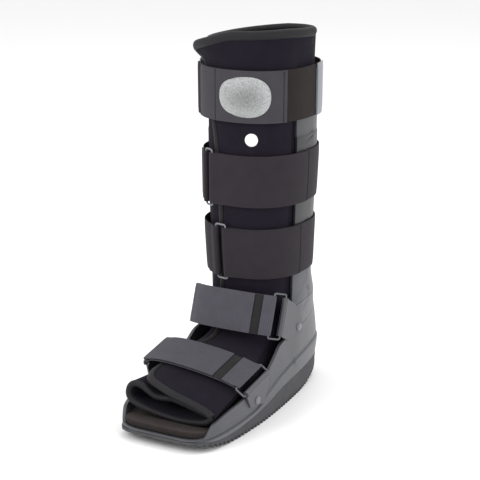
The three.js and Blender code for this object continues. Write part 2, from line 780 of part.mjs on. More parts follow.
// The ankle and toe straps lie on leaning arcs between rings held by tabs on the shell.
const FOOT_STRAPS = [
  {
    name: 'ankle', ringY: -51, ringZ: 108, lean: 19, bulge: 33, rise: 17, skew: -0.1, roll: -0.04,
    width: ANKLE_STRAP_WIDTH, tail: 31, patch: 44, rivet: [-20, 88], wall: 80,
    tab: [[-46, 79], [-14, 79], [-11, 95], [-29, 119]],
  },
  {
    name: 'toe', ringY: -127, ringZ: 59, lean: 78, bulge: 23, rise: 54, skew: 0, roll: 0.105,
    width: TOE_STRAP_WIDTH, tail: 24, patch: 36, rivet: [-126, 33], wall: 40,
    tab: [[-141, 29], [-112, 25], [-99, 44]],
  },
];

// Inner face of a strap tab: just clear of the widest part of the shell behind its corners
function tabFace(strap) {
  const behind = strap.tab.filter((spot) => spot[0] > -UPRIGHT_FRONT || spot[1] < strap.wall);
  return Math.max(...behind.map((spot) => shellHalfAt(spot[0], spot[1]))) + 2 * GAP;
}

// Point on a foot strap's arc: angle 0 is the top of the foot and along runs towards the
// toes. The arch rises at its own angle, skew moves the outer side back and roll lowers it.
function arcPoint(strap, angle, out, along) {
  const lean = radians(strap.lean);
  const rise = radians(strap.rise);
  const half = tabFace(strap) + TAB_THICKNESS / 2;
  const x = (half + out) * squared(Math.sin(radians(angle)), LEG_SQUARENESS);
  const share = squared(Math.cos(radians(angle)), LEG_SQUARENESS);
  const forward = share * (strap.bulge * Math.cos(rise) + out * Math.cos(lean));
  const up = share * (strap.bulge * Math.sin(rise) + out * Math.sin(lean));
  return new THREE.Vector3(
    x,
    strap.ringY + strap.skew * x - forward - along * Math.sin(lean),
    strap.ringZ - strap.roll * x + up - along * Math.cos(lean),
  );
}

function arcBand(strap, from, to, inner, outer) {
  const edge = strap.width / 2;
  const rings = anglesBetween(from, to).map((angle) => [
    arcPoint(strap, angle, inner, -edge),
    arcPoint(strap, angle, inner, edge),
    arcPoint(strap, angle, outer, edge),
    arcPoint(strap, angle, outer, -edge),
  ]);
  return toSolid(gridBody(rings, true, false));
}

function arcLine(strap, angle, reach) {
  return [arcPoint(strap, angle, 0, -reach), arcPoint(strap, angle, 0, reach)];
}

const INNER_BAR_ANGLE = 71;

function buildFootStrap(strap) {
  const inside = -LOOP_RADIUS;
  const ends = [-INNER_BAR_ANGLE, INNER_BAR_ANGLE];
  let body = arcBand(strap, ends[0], ends[1], inside, inside + STRAP_THICKNESS);
  body = body.add(arcBand(strap, ends[0], strap.tail, inside, inside + 2 * STRAP_THICKNESS));
  body = body.add(arcBand(strap, strap.patch, ends[1], inside, inside + 2 * STRAP_THICKNESS));
  for (const angle of ends) {
    const [start, end] = arcLine(strap, angle, strap.width / 2);
    body = body.add(rod(start, end, LOOP_RADIUS, LOOP_SIDES));
  }
  for (const angle of ends) {
    const [start, end] = arcLine(strap, angle, strap.width / 2 + 1);
    body = body.subtract(rod(start, end, RING_BAR_RADIUS + GAP, LOOP_SIDES));
  }
  return toGeometry(body);
}

function buildFootRing(strap, side) {
  const reach = strap.width / 2 + RING_OVERHANG;
  return ringFrom(arcLine(strap, side * INNER_BAR_ANGLE, reach), arcLine(strap, side * 90, reach));
}

// Plastic tab: a plate riveted to the shell, with a loop round the ring's outer bar
function buildTab(strap, side) {
  const face = tabFace(strap);
  const [start, end] = arcLine(strap, side * 90, strap.width / 2 - 1);
  const outline = [[start.y, start.z], [end.y, end.z], ...strap.tab];
  const plate = side > 0
    ? sidePrism(outline, face, face + TAB_THICKNESS)
    : sidePrism(outline, -face - TAB_THICKNESS, -face);
  const [far, near] = arcLine(strap, side * 90, strap.width);
  const loop = rod(start, end, RING_BAR_RADIUS + GAP + TAB_THICKNESS, LOOP_SIDES);
  return toGeometry(plate.add(loop).subtract(rod(far, near, RING_BAR_RADIUS + GAP, LOOP_SIDES)));
}

// Domed rivet head on a tab
function buildRivet(strap, side) {
  const profile = [[0, 0], [RIVET_RADIUS, 0], [RIVET_RADIUS, 0.3 * RIVET_HEIGHT],
    [0.7 * RIVET_RADIUS, 0.8 * RIVET_HEIGHT], [0, RIVET_HEIGHT]];
  const geometry = new THREE.LatheGeometry(profile.map((p) => new THREE.Vector2(p[0], p[1])), 12);
  geometry.rotateZ((-side * Math.PI) / 2);
  const x = side * (tabFace(strap) + TAB_THICKNESS + GAP);
  geometry.translate(x, strap.rivet[0], strap.rivet[1]);
  return geometry;
}

// Low dome seated on the curved front at a height and an angle
function legDome(height, angle, halfWidth, halfHeight, base, rise, squareness) {
  const sides = 16;
  const perDegree = radians(1) * (legSectionAt(height).half + base);
  const ringAt = (share, out) => {
    const ring = [];
    for (let i = 0; i < sides; i += 1) {
      const turn = (2 * Math.PI * i) / sides;
      const across = halfWidth * share * squared(Math.cos(turn), squareness);
      const z = height + halfHeight * share * squared(Math.sin(turn), squareness);
      ring.push(sectionPoint(legSectionAt(z), angle + across / perDegree, out));
    }
    return ring;
  };
  const top = [0.05, 0.5, 0.8, 1].map((s) => ringAt(s, base + 3 * GAP + rise * (1 - 0.85 * s ** 3)));
  const under = [1, 0.5, 0.05].map((s) => ringAt(s, base + 2.5 * GAP));
  return gridBody([...top, ...under], true, false);
}

const PANEL_IN = STRAP_IN + STRAP_THICKNESS + GAP;
const PANEL_OUT = PANEL_IN + STRAP_THICKNESS;
const TOP_BAND = [TOP_STRAP_HEIGHT - LEG_STRAP_WIDTH / 2, TOP_STRAP_HEIGHT + LEG_STRAP_WIDTH / 2];

// Materials
const material = (color, roughness, metalness = 0) => (
  new THREE.MeshStandardMaterial({ color, roughness, metalness })
);
const PADDED_CLOTH = material(0x1b1a22, 0.95);
const BINDING = material(0x2b2a2e, 0.7);
const SHELL_PLASTIC = material(0x4a4a4d, 0.5);
const RUBBER = material(0x3c3c3e, 0.8);
const FOAM = material(0x4a403c, 0.9);
const WEBBING = material(0x2a2120, 0.85);
const DARK_STRAP = material(0x38363b, 0.8);
const GREY_STRAP = material(0x55555c, 0.8);
const LIGHT_PLASTIC = material(0x9a9ca3, 0.4);
const PUMP_SKIN = material(0xb9bbbd, 0.45);
const WHITE_PLASTIC = material(0xf2f2f2, 0.35);

const boot = new THREE.Group();

function addPiece(name, geometry, finish) {
  const mesh = new THREE.Mesh(geometry, finish);
  mesh.name = name;
  boot.add(mesh);
}

addPiece('outsole', buildOutsole(), RUBBER);
addPiece('shell', buildShell(), SHELL_PLASTIC);
addPiece('insole', toGeometry(insoleFill(0)), FOAM);
addPiece('liner', buildLiner(), PADDED_CLOTH);
addPiece('front_flap', buildFlap(), PADDED_CLOTH);
addPiece('flap_binding', buildFlapBinding(), BINDING);
addPiece('collar_binding', buildCollarBinding(), BINDING);

// Leg straps: height, angle of the ring and angle where the folded tail ends
const LEG_STRAPS = [
  { name: 'top', height: TOP_STRAP_HEIGHT, ring: -62, tail: PANEL_FROM - 2, finish: WEBBING },
  { name: 'upper', height: UPPER_STRAP_HEIGHT, ring: -20, tail: 88, finish: DARK_STRAP },
  { name: 'lower', height: LOWER_STRAP_HEIGHT, ring: -4, tail: 81, finish: DARK_STRAP },
];
for (const { name, height, ring, tail, finish } of LEG_STRAPS) {
  addPiece(`${name}_strap`, buildLegStrap(height, ring, tail), finish);
  addPiece(`${name}_strap_ring`, buildLegRing(height, ring), LIGHT_PLASTIC);
}

const panel = legBand(PANEL_FROM, PANEL_TO, TOP_BAND[0], TOP_BAND[1], PANEL_IN, PANEL_OUT);
addPiece('pump_panel', toGeometry(panel), GREY_STRAP);
const pump = legDome(
  TOP_STRAP_HEIGHT, PUMP_ANGLE, PUMP_HALF_WIDTH, PUMP_HALF_HEIGHT, PANEL_OUT, PUMP_RISE, 2.4,
);
addPiece('air_pump', pump, PUMP_SKIN);
const button = legDome(
  (TOP_STRAP_HEIGHT + UPPER_STRAP_HEIGHT) / 2 - BUTTON_DROP, BUTTON_ANGLE, BUTTON_RADIUS, BUTTON_RADIUS,
  GAP + FLAP_THICKNESS, BUTTON_HEIGHT, 2,
);
addPiece('valve_button', button, WHITE_PLASTIC);
const keeper = legBand(99, 119, TOP_BAND[0], TOP_BAND[1] + 1, PANEL_IN, PANEL_IN + TAB_THICKNESS);
addPiece('strap_keeper', toGeometry(keeper), LIGHT_PLASTIC);

for (const strap of FOOT_STRAPS) {
  addPiece(`${strap.name}_strap`, buildFootStrap(strap), GREY_STRAP);
  for (const [side, word] of [[1, 'outer'], [-1, 'inner']]) {
    addPiece(`${strap.name}_ring_${word}`, buildFootRing(strap, side), LIGHT_PLASTIC);
    addPiece(`${strap.name}_tab_${word}`, buildTab(strap, side), SHELL_PLASTIC);
    addPiece(`${strap.name}_rivet_${word}`, buildRivet(strap, side), SHELL_PLASTIC);
  }
}

// The origin is under the middle of the boot's length.
boot.position.y = (TOE_REACH - HEEL_REACH) / 2;

export default boot;
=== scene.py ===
"""Looks of a medical walking boot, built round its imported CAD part."""

import math

import bmesh
import bpy
import numpy as np
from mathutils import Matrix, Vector


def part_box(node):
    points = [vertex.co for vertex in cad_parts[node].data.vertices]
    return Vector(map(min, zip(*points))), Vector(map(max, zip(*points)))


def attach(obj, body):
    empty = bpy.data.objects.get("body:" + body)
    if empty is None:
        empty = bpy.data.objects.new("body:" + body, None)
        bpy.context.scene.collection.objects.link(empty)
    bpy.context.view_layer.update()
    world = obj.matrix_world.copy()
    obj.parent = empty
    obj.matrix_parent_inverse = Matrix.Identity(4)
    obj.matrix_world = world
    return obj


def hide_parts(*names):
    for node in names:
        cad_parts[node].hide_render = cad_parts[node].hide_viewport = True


bl_info = {
    "name": "Medical walking boot",
    "version": (1, 0, 0),
    "blender": (4, 5, 0),
    "location": "3D View > Sidebar > Boot",
    "description": "Builds the shell, liner, straps and air pump of a tall walking boot",
    "category": "Add Mesh",
}

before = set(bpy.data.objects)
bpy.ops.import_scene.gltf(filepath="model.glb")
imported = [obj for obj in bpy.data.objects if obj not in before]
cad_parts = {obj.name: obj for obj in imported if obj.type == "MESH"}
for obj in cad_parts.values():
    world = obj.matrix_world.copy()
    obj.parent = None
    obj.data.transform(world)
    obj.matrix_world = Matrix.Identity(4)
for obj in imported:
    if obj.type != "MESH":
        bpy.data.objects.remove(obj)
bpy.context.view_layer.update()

# Sizes shared with the CAD part, in millimetres, with X = 0 and Y = 0 on the leg's axis.
BOOT_HEIGHT = 422
ANKLE_HEIGHT = 150
LEG = {"front": 66, "back": 62, "half": 58, "square": 2.3}
FOOT_REACH = 200
FOOT_HALF = 54
FOOT_SQUARE = 2.8
LINER_WALL = 5
TOE_REACH = 231
HEEL_REACH = 89
SOLE_HALF = 65
HEEL_HALF = 51
SOLE_HEIGHT = 28
SHELL_FLOOR = 2.6
UPRIGHT_TOP = 388
UPRIGHT_FRONT = -24
UPRIGHT_BACK = 30
UPRIGHT_CORNER = 8
UPRIGHT_STEP = 315
STEP_HEIGHT = 0.8
HEEL_CUP_HEIGHT = 122
HEEL_CUP_ROOM = 8
HEEL_FILLET = 9
INSOLE_THICKNESS = 8
GAP = 0.35
COLLAR_SLOPE = 0.05
INNER_SLOPE = 2.4
# Distances outside the liner: the skin over the flap and uprights, the strap, the pump's panel
SKIN = 4.35
STRAP_IN = 5.05
STRAP_THICKNESS = 1.6
LOOP_RADIUS = 3.45
PANEL_IN = 7.0
SHIFT = (TOE_REACH - HEEL_REACH) / 2

# Sections of the leg: height, then shares of its front, back and half width
LEG_ROWS = [
    (150, 0.93, 0.86, 0.9),
    (220.7, 1, 0.92, 0.94),
    (306.4, 1, 1, 0.975),
    (394.8, 1, 1, 0.99),
    (422, 1, 1, 1),
]
# Sections of the foot: front y and z, back y and z, half width and tilt, as shares of
# FOOT_REACH, ANKLE_HEIGHT and FOOT_HALF. A row without a back z rests on the insole.
FOOT_ROWS = [
    (-0.3, 0.8, 0.31, 0.72, 0.926, 0),
    (-0.325, 0.665, 0.36, 0.467, 0.87, 0),
    (-0.37, 0.575, 0.31, 0.305, 0.833, 0),
    (-0.44, 0.53, 0.05, None, 0.833, 0.02),
    (-0.55, 0.5, -0.284, None, 0.889, 0.06),
    (-0.7, 0.445, -0.56, None, 0.944, 0.12),
    (-0.85, 0.385, -0.81, None, 0.98, 0.16),
    (-0.965, 0.32, -1, None, 1, 0.22),
]
# The flap's own sections over the toes
FLAP_TOE_ROWS = [
    (-0.85, 0.4, -0.81, None, 0.98, 0.16),
    (-0.965, 0.365, -0.95, None, 0.98, 0.2),
    (-1.005, 0.35, -1, None, 0.96, 0.22),
]
# Left and right edges of the flap in degrees, from the collar to the toes
FLAP_EDGES = [
    (-53, 96), (-38, 72), (-15, 66), (-9, 66), (-11, 64), (-11, 62), (-9, 60), (-8, 56),
    (-10, 60), (-19, 68), (-28, 78), (-34, 82), (-24, 90), (-3, 96),
]
# Side view of the sole: place from toe to heel, then bottom and top as shares of SOLE_HEIGHT
SOLE_ROWS = [
    (0, 0.36, 0.47), (0.06, 0.19, 0.4), (0.11, 0.09, 0.34), (0.17, 0.02, 0.36),
    (0.26, 0, 0.46), (0.42, 0, 0.71), (0.55, 0, 0.92), (0.7, 0, 0.965),
    (0.78, 0.05, 0.98), (0.87, 0.22, 1), (1, 0.55, 1.07),
]
# Sections of the shell: height, shares of TOE_REACH, HEEL_REACH, SOLE_HALF and HEEL_HALF, and
# the squareness of its front and rear
SHELL_ROWS = [
    (0, 0.98, 0.88, 0.94, 0.9, 5.5, 3),
    (12, 0.996, 0.95, 0.985, 0.98, 5.5, 3),
    (28.5, 1, 1, 1, 1.03, 5.5, 3),
    (51, 0.97, 1, 0.965, 1.08, 5, 2.9),
    (81, 0.88, 0.96, 0.93, 1.09, 4, 2.7),
]
# Top edge of the shell's wall in front of the uprights: y and z
WALL_EDGE = [
    (-231, 15.5), (-219, 15.5), (-213, 22), (-207, 30), (-178, 37.5), (-145.5, 42),
    (-95, 55), (-76, 66), (-58, 78), (-40, 81.5), (-27, 84),
]


def smooth_table(rows, place, column):
    """Values of one column along the first column, joined by a smooth curve with no overshoot."""
    table = np.array(rows, float)
    x, y = table[:, 0], table[:, column]
    step = np.diff(x)
    slope = np.diff(y) / step
    tangent = np.zeros(len(x))
    tangent[0], tangent[-1] = slope[0], slope[-1]
    same = slope[:-1] * slope[1:] > 0
    mean = 2 * slope[:-1] * slope[1:] / np.where(same, slope[:-1] + slope[1:], 1)
    tangent[1:-1] = np.where(same, mean, 0)
    place = np.clip(place, x[0], x[-1])
    i = np.clip(np.searchsorted(x, place) - 1, 0, len(x) - 2)
    t = (place - x[i]) / step[i]
    h00 = 2 * t**3 - 3 * t**2 + 1
    h10 = t**3 - 2 * t**2 + t
    h01 = 3 * t**2 - 2 * t**3
    h11 = t**3 - t**2
    return h00 * y[i] + h10 * step[i] * tangent[i] + h01 * y[i + 1] + h11 * step[i] * tangent[i + 1]


def squared(value, squareness):
    """Sine or cosine of a squared ellipse."""
    return np.sign(value) * np.abs(value) ** (2 / squareness)


def sole_at(y, column):
    """Height of the sole's bottom (1) or top (2) at places y."""
    along = (np.asarray(y, float) + TOE_REACH) / (TOE_REACH + HEEL_REACH)
    return SOLE_HEIGHT * smooth_table(SOLE_ROWS, along, column)


def floor_top_at(y):
    """Height of the shell's floor at places y."""
    return sole_at(y, 2) + GAP + SHELL_FLOOR


def insole_top_at(y):
    """Height of the insole's top at places y."""
    return floor_top_at(y) + GAP + INSOLE_THICKNESS


def leg_at(z):
    """Front, back and half width of the liner's leg at heights z."""
    z = np.asarray(z, float)
    sides = ("front", "back", "half")
    return [LEG[side] * smooth_table(LEG_ROWS, z, i + 1) for i, side in enumerate(sides)]


def leg_point(z, angle, out):
    """Points on the leg at heights z and angles in degrees, a distance outside the liner."""
    z = np.asarray(z, float)
    turn = np.radians(angle)
    front, back, half = leg_at(z)
    middle = (back - front) / 2
    reach = (back + front) / 2 + out
    x = (half + out) * squared(np.sin(turn), LEG["square"])
    y = middle - reach * squared(np.cos(turn), LEG["square"])
    return np.stack(np.broadcast_arrays(x, y, z), -1)


def tube_sections(toe_rows):
    """Sections along the boot: front y z, back y z, half width, squareness, tilt and slope."""
    sections = []
    for z, front, back, half in reversed(LEG_ROWS):
        slope = COLLAR_SLOPE if z == BOOT_HEIGHT else 0
        ends = (-LEG["front"] * front, z, LEG["back"] * back, z)
        sections.append((*ends, LEG["half"] * half, LEG["square"], 0, slope))
    for front_y, front_z, back_y, back_z, half, tilt in toe_rows:
        y = FOOT_REACH * back_y
        z = insole_top_at(y) + 2 * GAP if back_z is None else ANKLE_HEIGHT * back_z
        ends = (FOOT_REACH * front_y, ANKLE_HEIGHT * front_z, y, float(z))
        sections.append((*ends, FOOT_HALF * half, FOOT_SQUARE, tilt, 0))
    return np.array(sections)


def smooth_sections(sections, parts):
    """The sections resampled with a smooth curve, and each one's place in the list."""
    rows = np.column_stack([np.arange(len(sections)), sections])
    places = np.linspace(0, len(sections) - 1, (len(sections) - 1) * parts + 1)
    return places, np.stack([smooth_table(rows, places, c + 1) for c in range(sections.shape[1])], -1)


def section_point(section, angle, out):
    """Points on a section at angles in degrees, a distance outside it."""
    front = np.array(section[..., 0:2])
    back = np.array(section[..., 2:4])
    half, square, tilt, slope = (section[..., i] for i in (4, 5, 6, 7))
    middle = (front + back) / 2
    reach = front - middle
    length = np.linalg.norm(reach, axis=-1)
    turn = np.radians(angle)
    forward = squared(np.cos(turn), square)
    x = (half + out) * squared(np.sin(turn), square)
    grown = (length + out) / length * forward
    y = middle[..., 0] + reach[..., 0] * grown
    tilted = tilt * x * np.maximum(0, forward)
    sloped = slope * np.where(x < 0, INNER_SLOPE, 1) * x
    z = middle[..., 1] + reach[..., 1] * grown - tilted + sloped
    return np.stack(np.broadcast_arrays(x, y, z), -1)


# Meshes


def to_metres(points):
    """Millimetres round the leg's axis to metres in the frame."""
    return (np.asarray(points, float).reshape(-1, 3) + (0, SHIFT, 0)) / 1000


def add_mesh(name, points, faces, material, slot=None, stands_for=()):
    """A piece from points in millimetres round the leg's axis."""
    mesh = bpy.data.meshes.new(name)
    mesh.from_pydata([tuple(p) for p in to_metres(points)], [], [tuple(int(i) for i in f) for f in faces])
    mesh.validate()
    mesh.update()
    mesh.polygons.foreach_set("use_smooth", [True] * len(mesh.polygons))
    piece = bpy.data.objects.new(name, mesh)
    bpy.context.scene.collection.objects.link(piece)
    mesh.materials.append(material)
    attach(piece, "root")
    if stands_for:
        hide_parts(*stands_for)
    return piece


def grid_faces(rows, columns, close_rows=False):
    """Four-sided faces between the neighbours of a grid of points whose columns go all round."""
    faces = []
    for r in range(rows if close_rows else rows - 1):
        here, above = r * columns, (r + 1) % rows * columns
        for c in range(columns):
            beside = (c + 1) % columns
            faces.append((here + c, here + beside, above + beside, above + c))
    return faces


def add_grid(name, rings, material, slot=None, stands_for=(), loop=False):
    """A body from closed rings of points, with ends that are capped unless it loops."""
    rings = np.asarray(rings, float)
    count, across = rings.shape[:2]
    faces = grid_faces(count, across, loop)
    if not loop:
        faces.append(tuple(range(across))[::-1])
        faces.append(tuple(range((count - 1) * across, count * across)))
    piece = add_mesh(name, rings.reshape(-1, 3), faces, material, slot, stands_for)
    face_outward(piece)
    return piece


def face_outward(piece):
    """Turns all faces of a closed piece outward."""
    mesh = bmesh.new()
    mesh.from_mesh(piece.data)
    bmesh.ops.recalc_face_normals(mesh, faces=mesh.faces)
    mesh.to_mesh(piece.data)
    mesh.free()


def sharp_by_angle(piece, degrees):
    """Keeps crisp corners while the rest shades smoothly."""
    piece.data.set_sharp_from_angle(angle=math.radians(degrees))


def soft_noise(points, size, seed):
    """Smooth noise from a few waves, for cloth that isn't perfectly even."""
    rng = np.random.default_rng(seed)
    total = np.zeros(len(points))
    for _ in range(9):
        direction = rng.normal(size=3)
        direction *= rng.uniform(0.6, 1.5) / np.linalg.norm(direction)
        total += np.sin(points @ direction * 2 * np.pi / size + rng.uniform(0, 6.28))
    return total / 4


def ribbon(name, middle, thickness, material, slot=None, stands_for=()):
    """A strip of webbing from a grid of points on its middle: along, then across."""
    middle = np.asarray(middle, float)
    along = np.gradient(middle, axis=0)
    across = np.gradient(middle, axis=1)
    normal = np.cross(along, across)
    normal /= np.linalg.norm(normal, axis=-1, keepdims=True) + 1e-9
    count, width = middle.shape[:2]
    half = np.full(width, thickness / 2)
    half[[0, -1]] *= 0.55
    offset = normal * half[None, :, None]
    rings = np.concatenate([middle + offset, (middle - offset)[:, ::-1]], axis=1)
    piece = add_grid(name, rings, material, slot, stands_for)
    steps = np.linalg.norm(np.diff(middle[:, width // 2], axis=0), axis=-1)
    u = np.concatenate([[0], np.cumsum(steps)])
    v = np.linspace(0, np.linalg.norm(middle[0, -1] - middle[0, 0]), width)
    across_v = np.concatenate([v, v[::-1]])
    set_attribute(piece, "along", np.repeat(u, 2 * width))
    set_attribute(piece, "across", np.tile(across_v, count))
    sharp_by_angle(piece, 50)
    return piece


def set_attribute(piece, name, values):
    """Stores one number for each vertex, for the materials' patterns and for their painted shade and
    highlights.
    """
    attribute = piece.data.attributes.new(name, "FLOAT", "POINT")
    attribute.data.foreach_set("value", np.asarray(values, np.float32))


def tube(name, path, radii, material, slot=None, stands_for=(), loop=False, outs=None, sides=14):
    """A round or flattened tube along a path: radii across the path and along its outward side."""
    path = np.asarray(path, float)
    if loop:
        along = np.roll(path, -1, 0) - np.roll(path, 1, 0)
    else:
        along = np.gradient(path, axis=0)
    along /= np.linalg.norm(along, axis=1, keepdims=True)
    if outs is None:
        spread = path - path.mean(0)
        axis = np.linalg.svd(spread)[2][-1]
        outs = np.tile(axis, (len(path), 1))
    outs = outs - along * (outs * along).sum(1, keepdims=True)
    outs /= np.linalg.norm(outs, axis=1, keepdims=True)
    side = np.cross(along, outs)
    turn = np.linspace(0, 2 * np.pi, sides, endpoint=False)
    wide, high = (np.broadcast_to(r, len(path))[:, None, None] for r in radii)
    rings = (
        path[:, None]
        + side[:, None] * wide * np.cos(turn)[None, :, None]
        + outs[:, None] * high * np.sin(turn)[None, :, None]
    )
    piece = add_grid(name, rings, material, slot, stands_for, loop=loop)
    steps = np.linalg.norm(np.diff(path, axis=0), axis=1)
    u = np.concatenate([[0], np.cumsum(steps)])
    set_attribute(piece, "along", np.repeat(u, sides))
    set_attribute(piece, "across", np.tile(turn * np.mean(radii[0]), len(path)))
    return piece


def rounded_corners(corners, radius, parts=6):
    """A closed path through corners, each turned with an arc."""
    corners = np.asarray(corners, float)
    path = []
    for i, corner in enumerate(corners):
        before = corners[i - 1] - corner
        after = corners[(i + 1) % len(corners)] - corner
        before /= np.linalg.norm(before)
        after /= np.linalg.norm(after)
        for t in np.linspace(0, 1, parts):
            path.append(corner + radius * ((1 - t) ** 2 * before + t**2 * after))
    return np.array(path)


# Materials


class Look:
    """A material made of procedural nodes."""

    def __init__(self, name, colour, roughness, sheen=0.0, specular=0.5):
        self.material = bpy.data.materials.new(name)
        self.material.use_nodes = True
        self.tree = self.material.node_tree
        self.shader = self.tree.nodes["Principled BSDF"]
        self.colour = (*colour, 1)
        self.shader.inputs["Base Color"].default_value = self.colour
        self.shader.inputs["Roughness"].default_value = roughness
        self.shader.inputs["Specular IOR Level"].default_value = specular
        self.shader.inputs["Sheen Weight"].default_value = sheen
        self.shader.inputs["Sheen Roughness"].default_value = 0.5
        self.place = self.node("ShaderNodeTexCoord").outputs["Object"]
        self.bump_out = None
        self.colour_out = None

    def node(self, kind, **settings):
        """A new node with its settings."""
        made = self.tree.nodes.new(kind)
        for key, value in settings.items():
            setattr(made, key, value)
        return made

    def link(self, start, end):
        """Joins an output to an input."""
        self.tree.links.new(start, end)

    def math(self, operation, first, second=0.0):
        """Result of an operation on two sockets or numbers."""
        made = self.node("ShaderNodeMath", operation=operation)
        for socket, value in zip(made.inputs, (first, second)):
            if isinstance(value, (int, float)):
                socket.default_value = value
            else:
                self.link(value, socket)
        return made.outputs[0]

    def noise(self, size, detail, roughness=0.5):
        """Noise with features of a size in millimetres."""
        made = self.node("ShaderNodeTexNoise")
        made.inputs["Scale"].default_value = 1000 / size
        made.inputs["Detail"].default_value = detail
        made.inputs["Roughness"].default_value = roughness
        self.link(self.place, made.inputs["Vector"])
        return made.outputs["Fac"]

    def cells(self, size):
        """Distance to the middle of cells of a size in millimetres."""
        made = self.node("ShaderNodeTexVoronoi")
        made.inputs["Scale"].default_value = 1000 / size
        self.link(self.place, made.inputs["Vector"])
        return made.outputs["Distance"]

    def wave(self, attribute, pitch):
        """A wave from 0 to 1 along one of the strap's own directions."""
        source = self.node("ShaderNodeAttribute", attribute_name=attribute).outputs["Fac"]
        sine = self.math("SINE", self.math("MULTIPLY", source, 2 * math.pi / pitch))
        return self.math("ADD", self.math("MULTIPLY", sine, 0.5), 0.5)

    def ramp(self, value, start, end):
        """0 at one value and 1 at another."""
        made = self.node("ShaderNodeMapRange", interpolation_type="SMOOTHSTEP")
        made.inputs["From Min"].default_value = start
        made.inputs["From Max"].default_value = end
        self.link(value, made.inputs["Value"])
        return made.outputs[0]

    def shade(self, factor, low=0.75, high=1.25):
        """Makes the colour darker and lighter with a factor from 0 to 1."""
        ramp = self.node("ShaderNodeMapRange")
        ramp.inputs["To Min"].default_value = low
        ramp.inputs["To Max"].default_value = high
        self.link(factor, ramp.inputs["Value"])
        mixed = self.node("ShaderNodeMix", data_type="RGBA", blend_type="MULTIPLY")
        mixed.inputs["Factor"].default_value = 1
        if self.colour_out is None:
            mixed.inputs["A"].default_value = self.colour
        else:
            self.link(self.colour_out, mixed.inputs["A"])
        self.link(ramp.outputs[0], mixed.inputs["B"])
        self.colour_out = mixed.outputs["Result"]
        self.link(self.colour_out, self.shader.inputs["Base Color"])
        return self

    def bump(self, height, depth):
        """Raises the surface by a height from 0 to 1 times a depth in millimetres."""
        made = self.node("ShaderNodeBump")
        made.inputs["Strength"].default_value = 1
        made.inputs["Distance"].default_value = depth / 1000
        self.link(height, made.inputs["Height"])
        if self.bump_out is not None:
            self.link(self.bump_out, made.inputs["Normal"])
        self.bump_out = made.outputs[0]
        self.link(self.bump_out, self.shader.inputs["Normal"])
        return self


def cloth_look(name, colour):
    """Woven cloth with a soft nap."""
    look = Look(name, colour, 0.95, sheen=0.02, specular=0.12)
    look.shade(look.noise(22, 3), 0.7, 1.3)
    look.shade(look.noise(0.9, 2), 0.75, 1.25)
    look.bump(look.noise(0.8, 3, 0.7), 0.3)
    look.bump(look.noise(9, 2), 0.5)
    return look.material


def strap_look(name, colour, rib_along, rib_across, depth, sheen=0.03):
    """Webbing with ribs along and across the strap."""
    look = Look(name, colour, 0.85, sheen=sheen, specular=0.22)
    if rib_along:
        rib = look.wave("along", rib_along)
        look.shade(rib, 0.9, 1.08)
        look.bump(rib, depth)
    fine = look.wave("across", rib_across)
    look.shade(fine, 0.93, 1.06)
    look.bump(fine, depth * 0.6)
    look.shade(look.noise(16, 3), 0.82, 1.16)
    look.shade(look.noise(0.7, 2), 0.8, 1.2)
    look.bump(look.noise(0.6, 2, 0.7), 0.15)
    return look.material


def plastic_look(name, colour, roughness, grain, wear=0.12):
    """Moulded plastic with a fine grain and slight wear."""
    look = Look(name, colour, roughness)
    look.shade(look.noise(30, 3), 1 - wear, 1 + wear)
    look.shade(look.noise(1.2, 2), 1 - wear * 0.6, 1 + wear * 0.6)
    look.bump(look.noise(0.7, 3, 0.6), grain)
    return look.material


def shell_look(name, colour):
    """The shell's plastic: darker on the uprights, up to their step, with painted shade and painted
    highlights along its moulded lines.
    """
    look = Look(name, colour, 0.4)
    look.shade(look.noise(30, 3), 0.78, 1.22)
    look.shade(look.noise(1.4, 2, 0.7), 0.7, 1.3)
    parts = look.node("ShaderNodeSeparateXYZ")
    look.link(look.place, parts.inputs[0])
    for start, end, low, high in ((0.14, 0.19, 1, 0.32), (0.3145, 0.3155, 1, 2.2)):
        ramp = look.node("ShaderNodeMapRange")
        ramp.inputs["From Min"].default_value = start
        ramp.inputs["From Max"].default_value = end
        look.link(parts.outputs["Z"], ramp.inputs["Value"])
        look.shade(ramp.outputs[0], low, high)
    behind_tab = look.ramp(parts.outputs["Y"], (SHIFT - 46) / 1000, (SHIFT - 6) / 1000)
    for level, rise in SHORT_LINES:
        along = look.math("MULTIPLY", look.math("SUBTRACT", parts.outputs["Y"], SHIFT / 1000), rise)
        above = look.math("SUBTRACT", look.math("SUBTRACT", parts.outputs["Z"], along), level / 1000)
        step = look.ramp(above, 0.0004, -0.0004)
        # Each short line is a bump raising the shell below it, with painted shade in a band just above it
        # and a painted highlight on the raised edge just below it
        groove_shade = look.math("MULTIPLY", look.ramp(above, -0.0002, 0.0006), look.ramp(above, 0.0026, 0.0016))
        edge = look.math("MULTIPLY", look.ramp(above, -0.0022, -0.001), step)
        look.bump(look.math("MULTIPLY", behind_tab, look.ramp(above, 0.0004, -0.0012)), 0.5)
        look.shade(look.math("MULTIPLY", behind_tab, groove_shade), 1, 0.3)
        look.shade(look.math("MULTIPLY", behind_tab, edge), 1, 2.0)
    # Painted highlight along the upper edge of the moulded step, from the across attribute
    line = look.node("ShaderNodeAttribute", attribute_name="across").outputs["Fac"]
    look.shade(line, 1, 1.9)
    look.bump(look.noise(0.9, 3, 0.6), 0.1)
    return look.material


def rubber_look(name, colour):
    """Dark rubber of the sole."""
    look = Look(name, colour, 0.85, specular=0.3)
    look.shade(look.noise(14, 4), 0.75, 1.25)
    look.shade(look.noise(1.6, 2, 0.7), 0.7, 1.3)
    look.bump(look.noise(1.1, 3), 0.2)
    return look.material


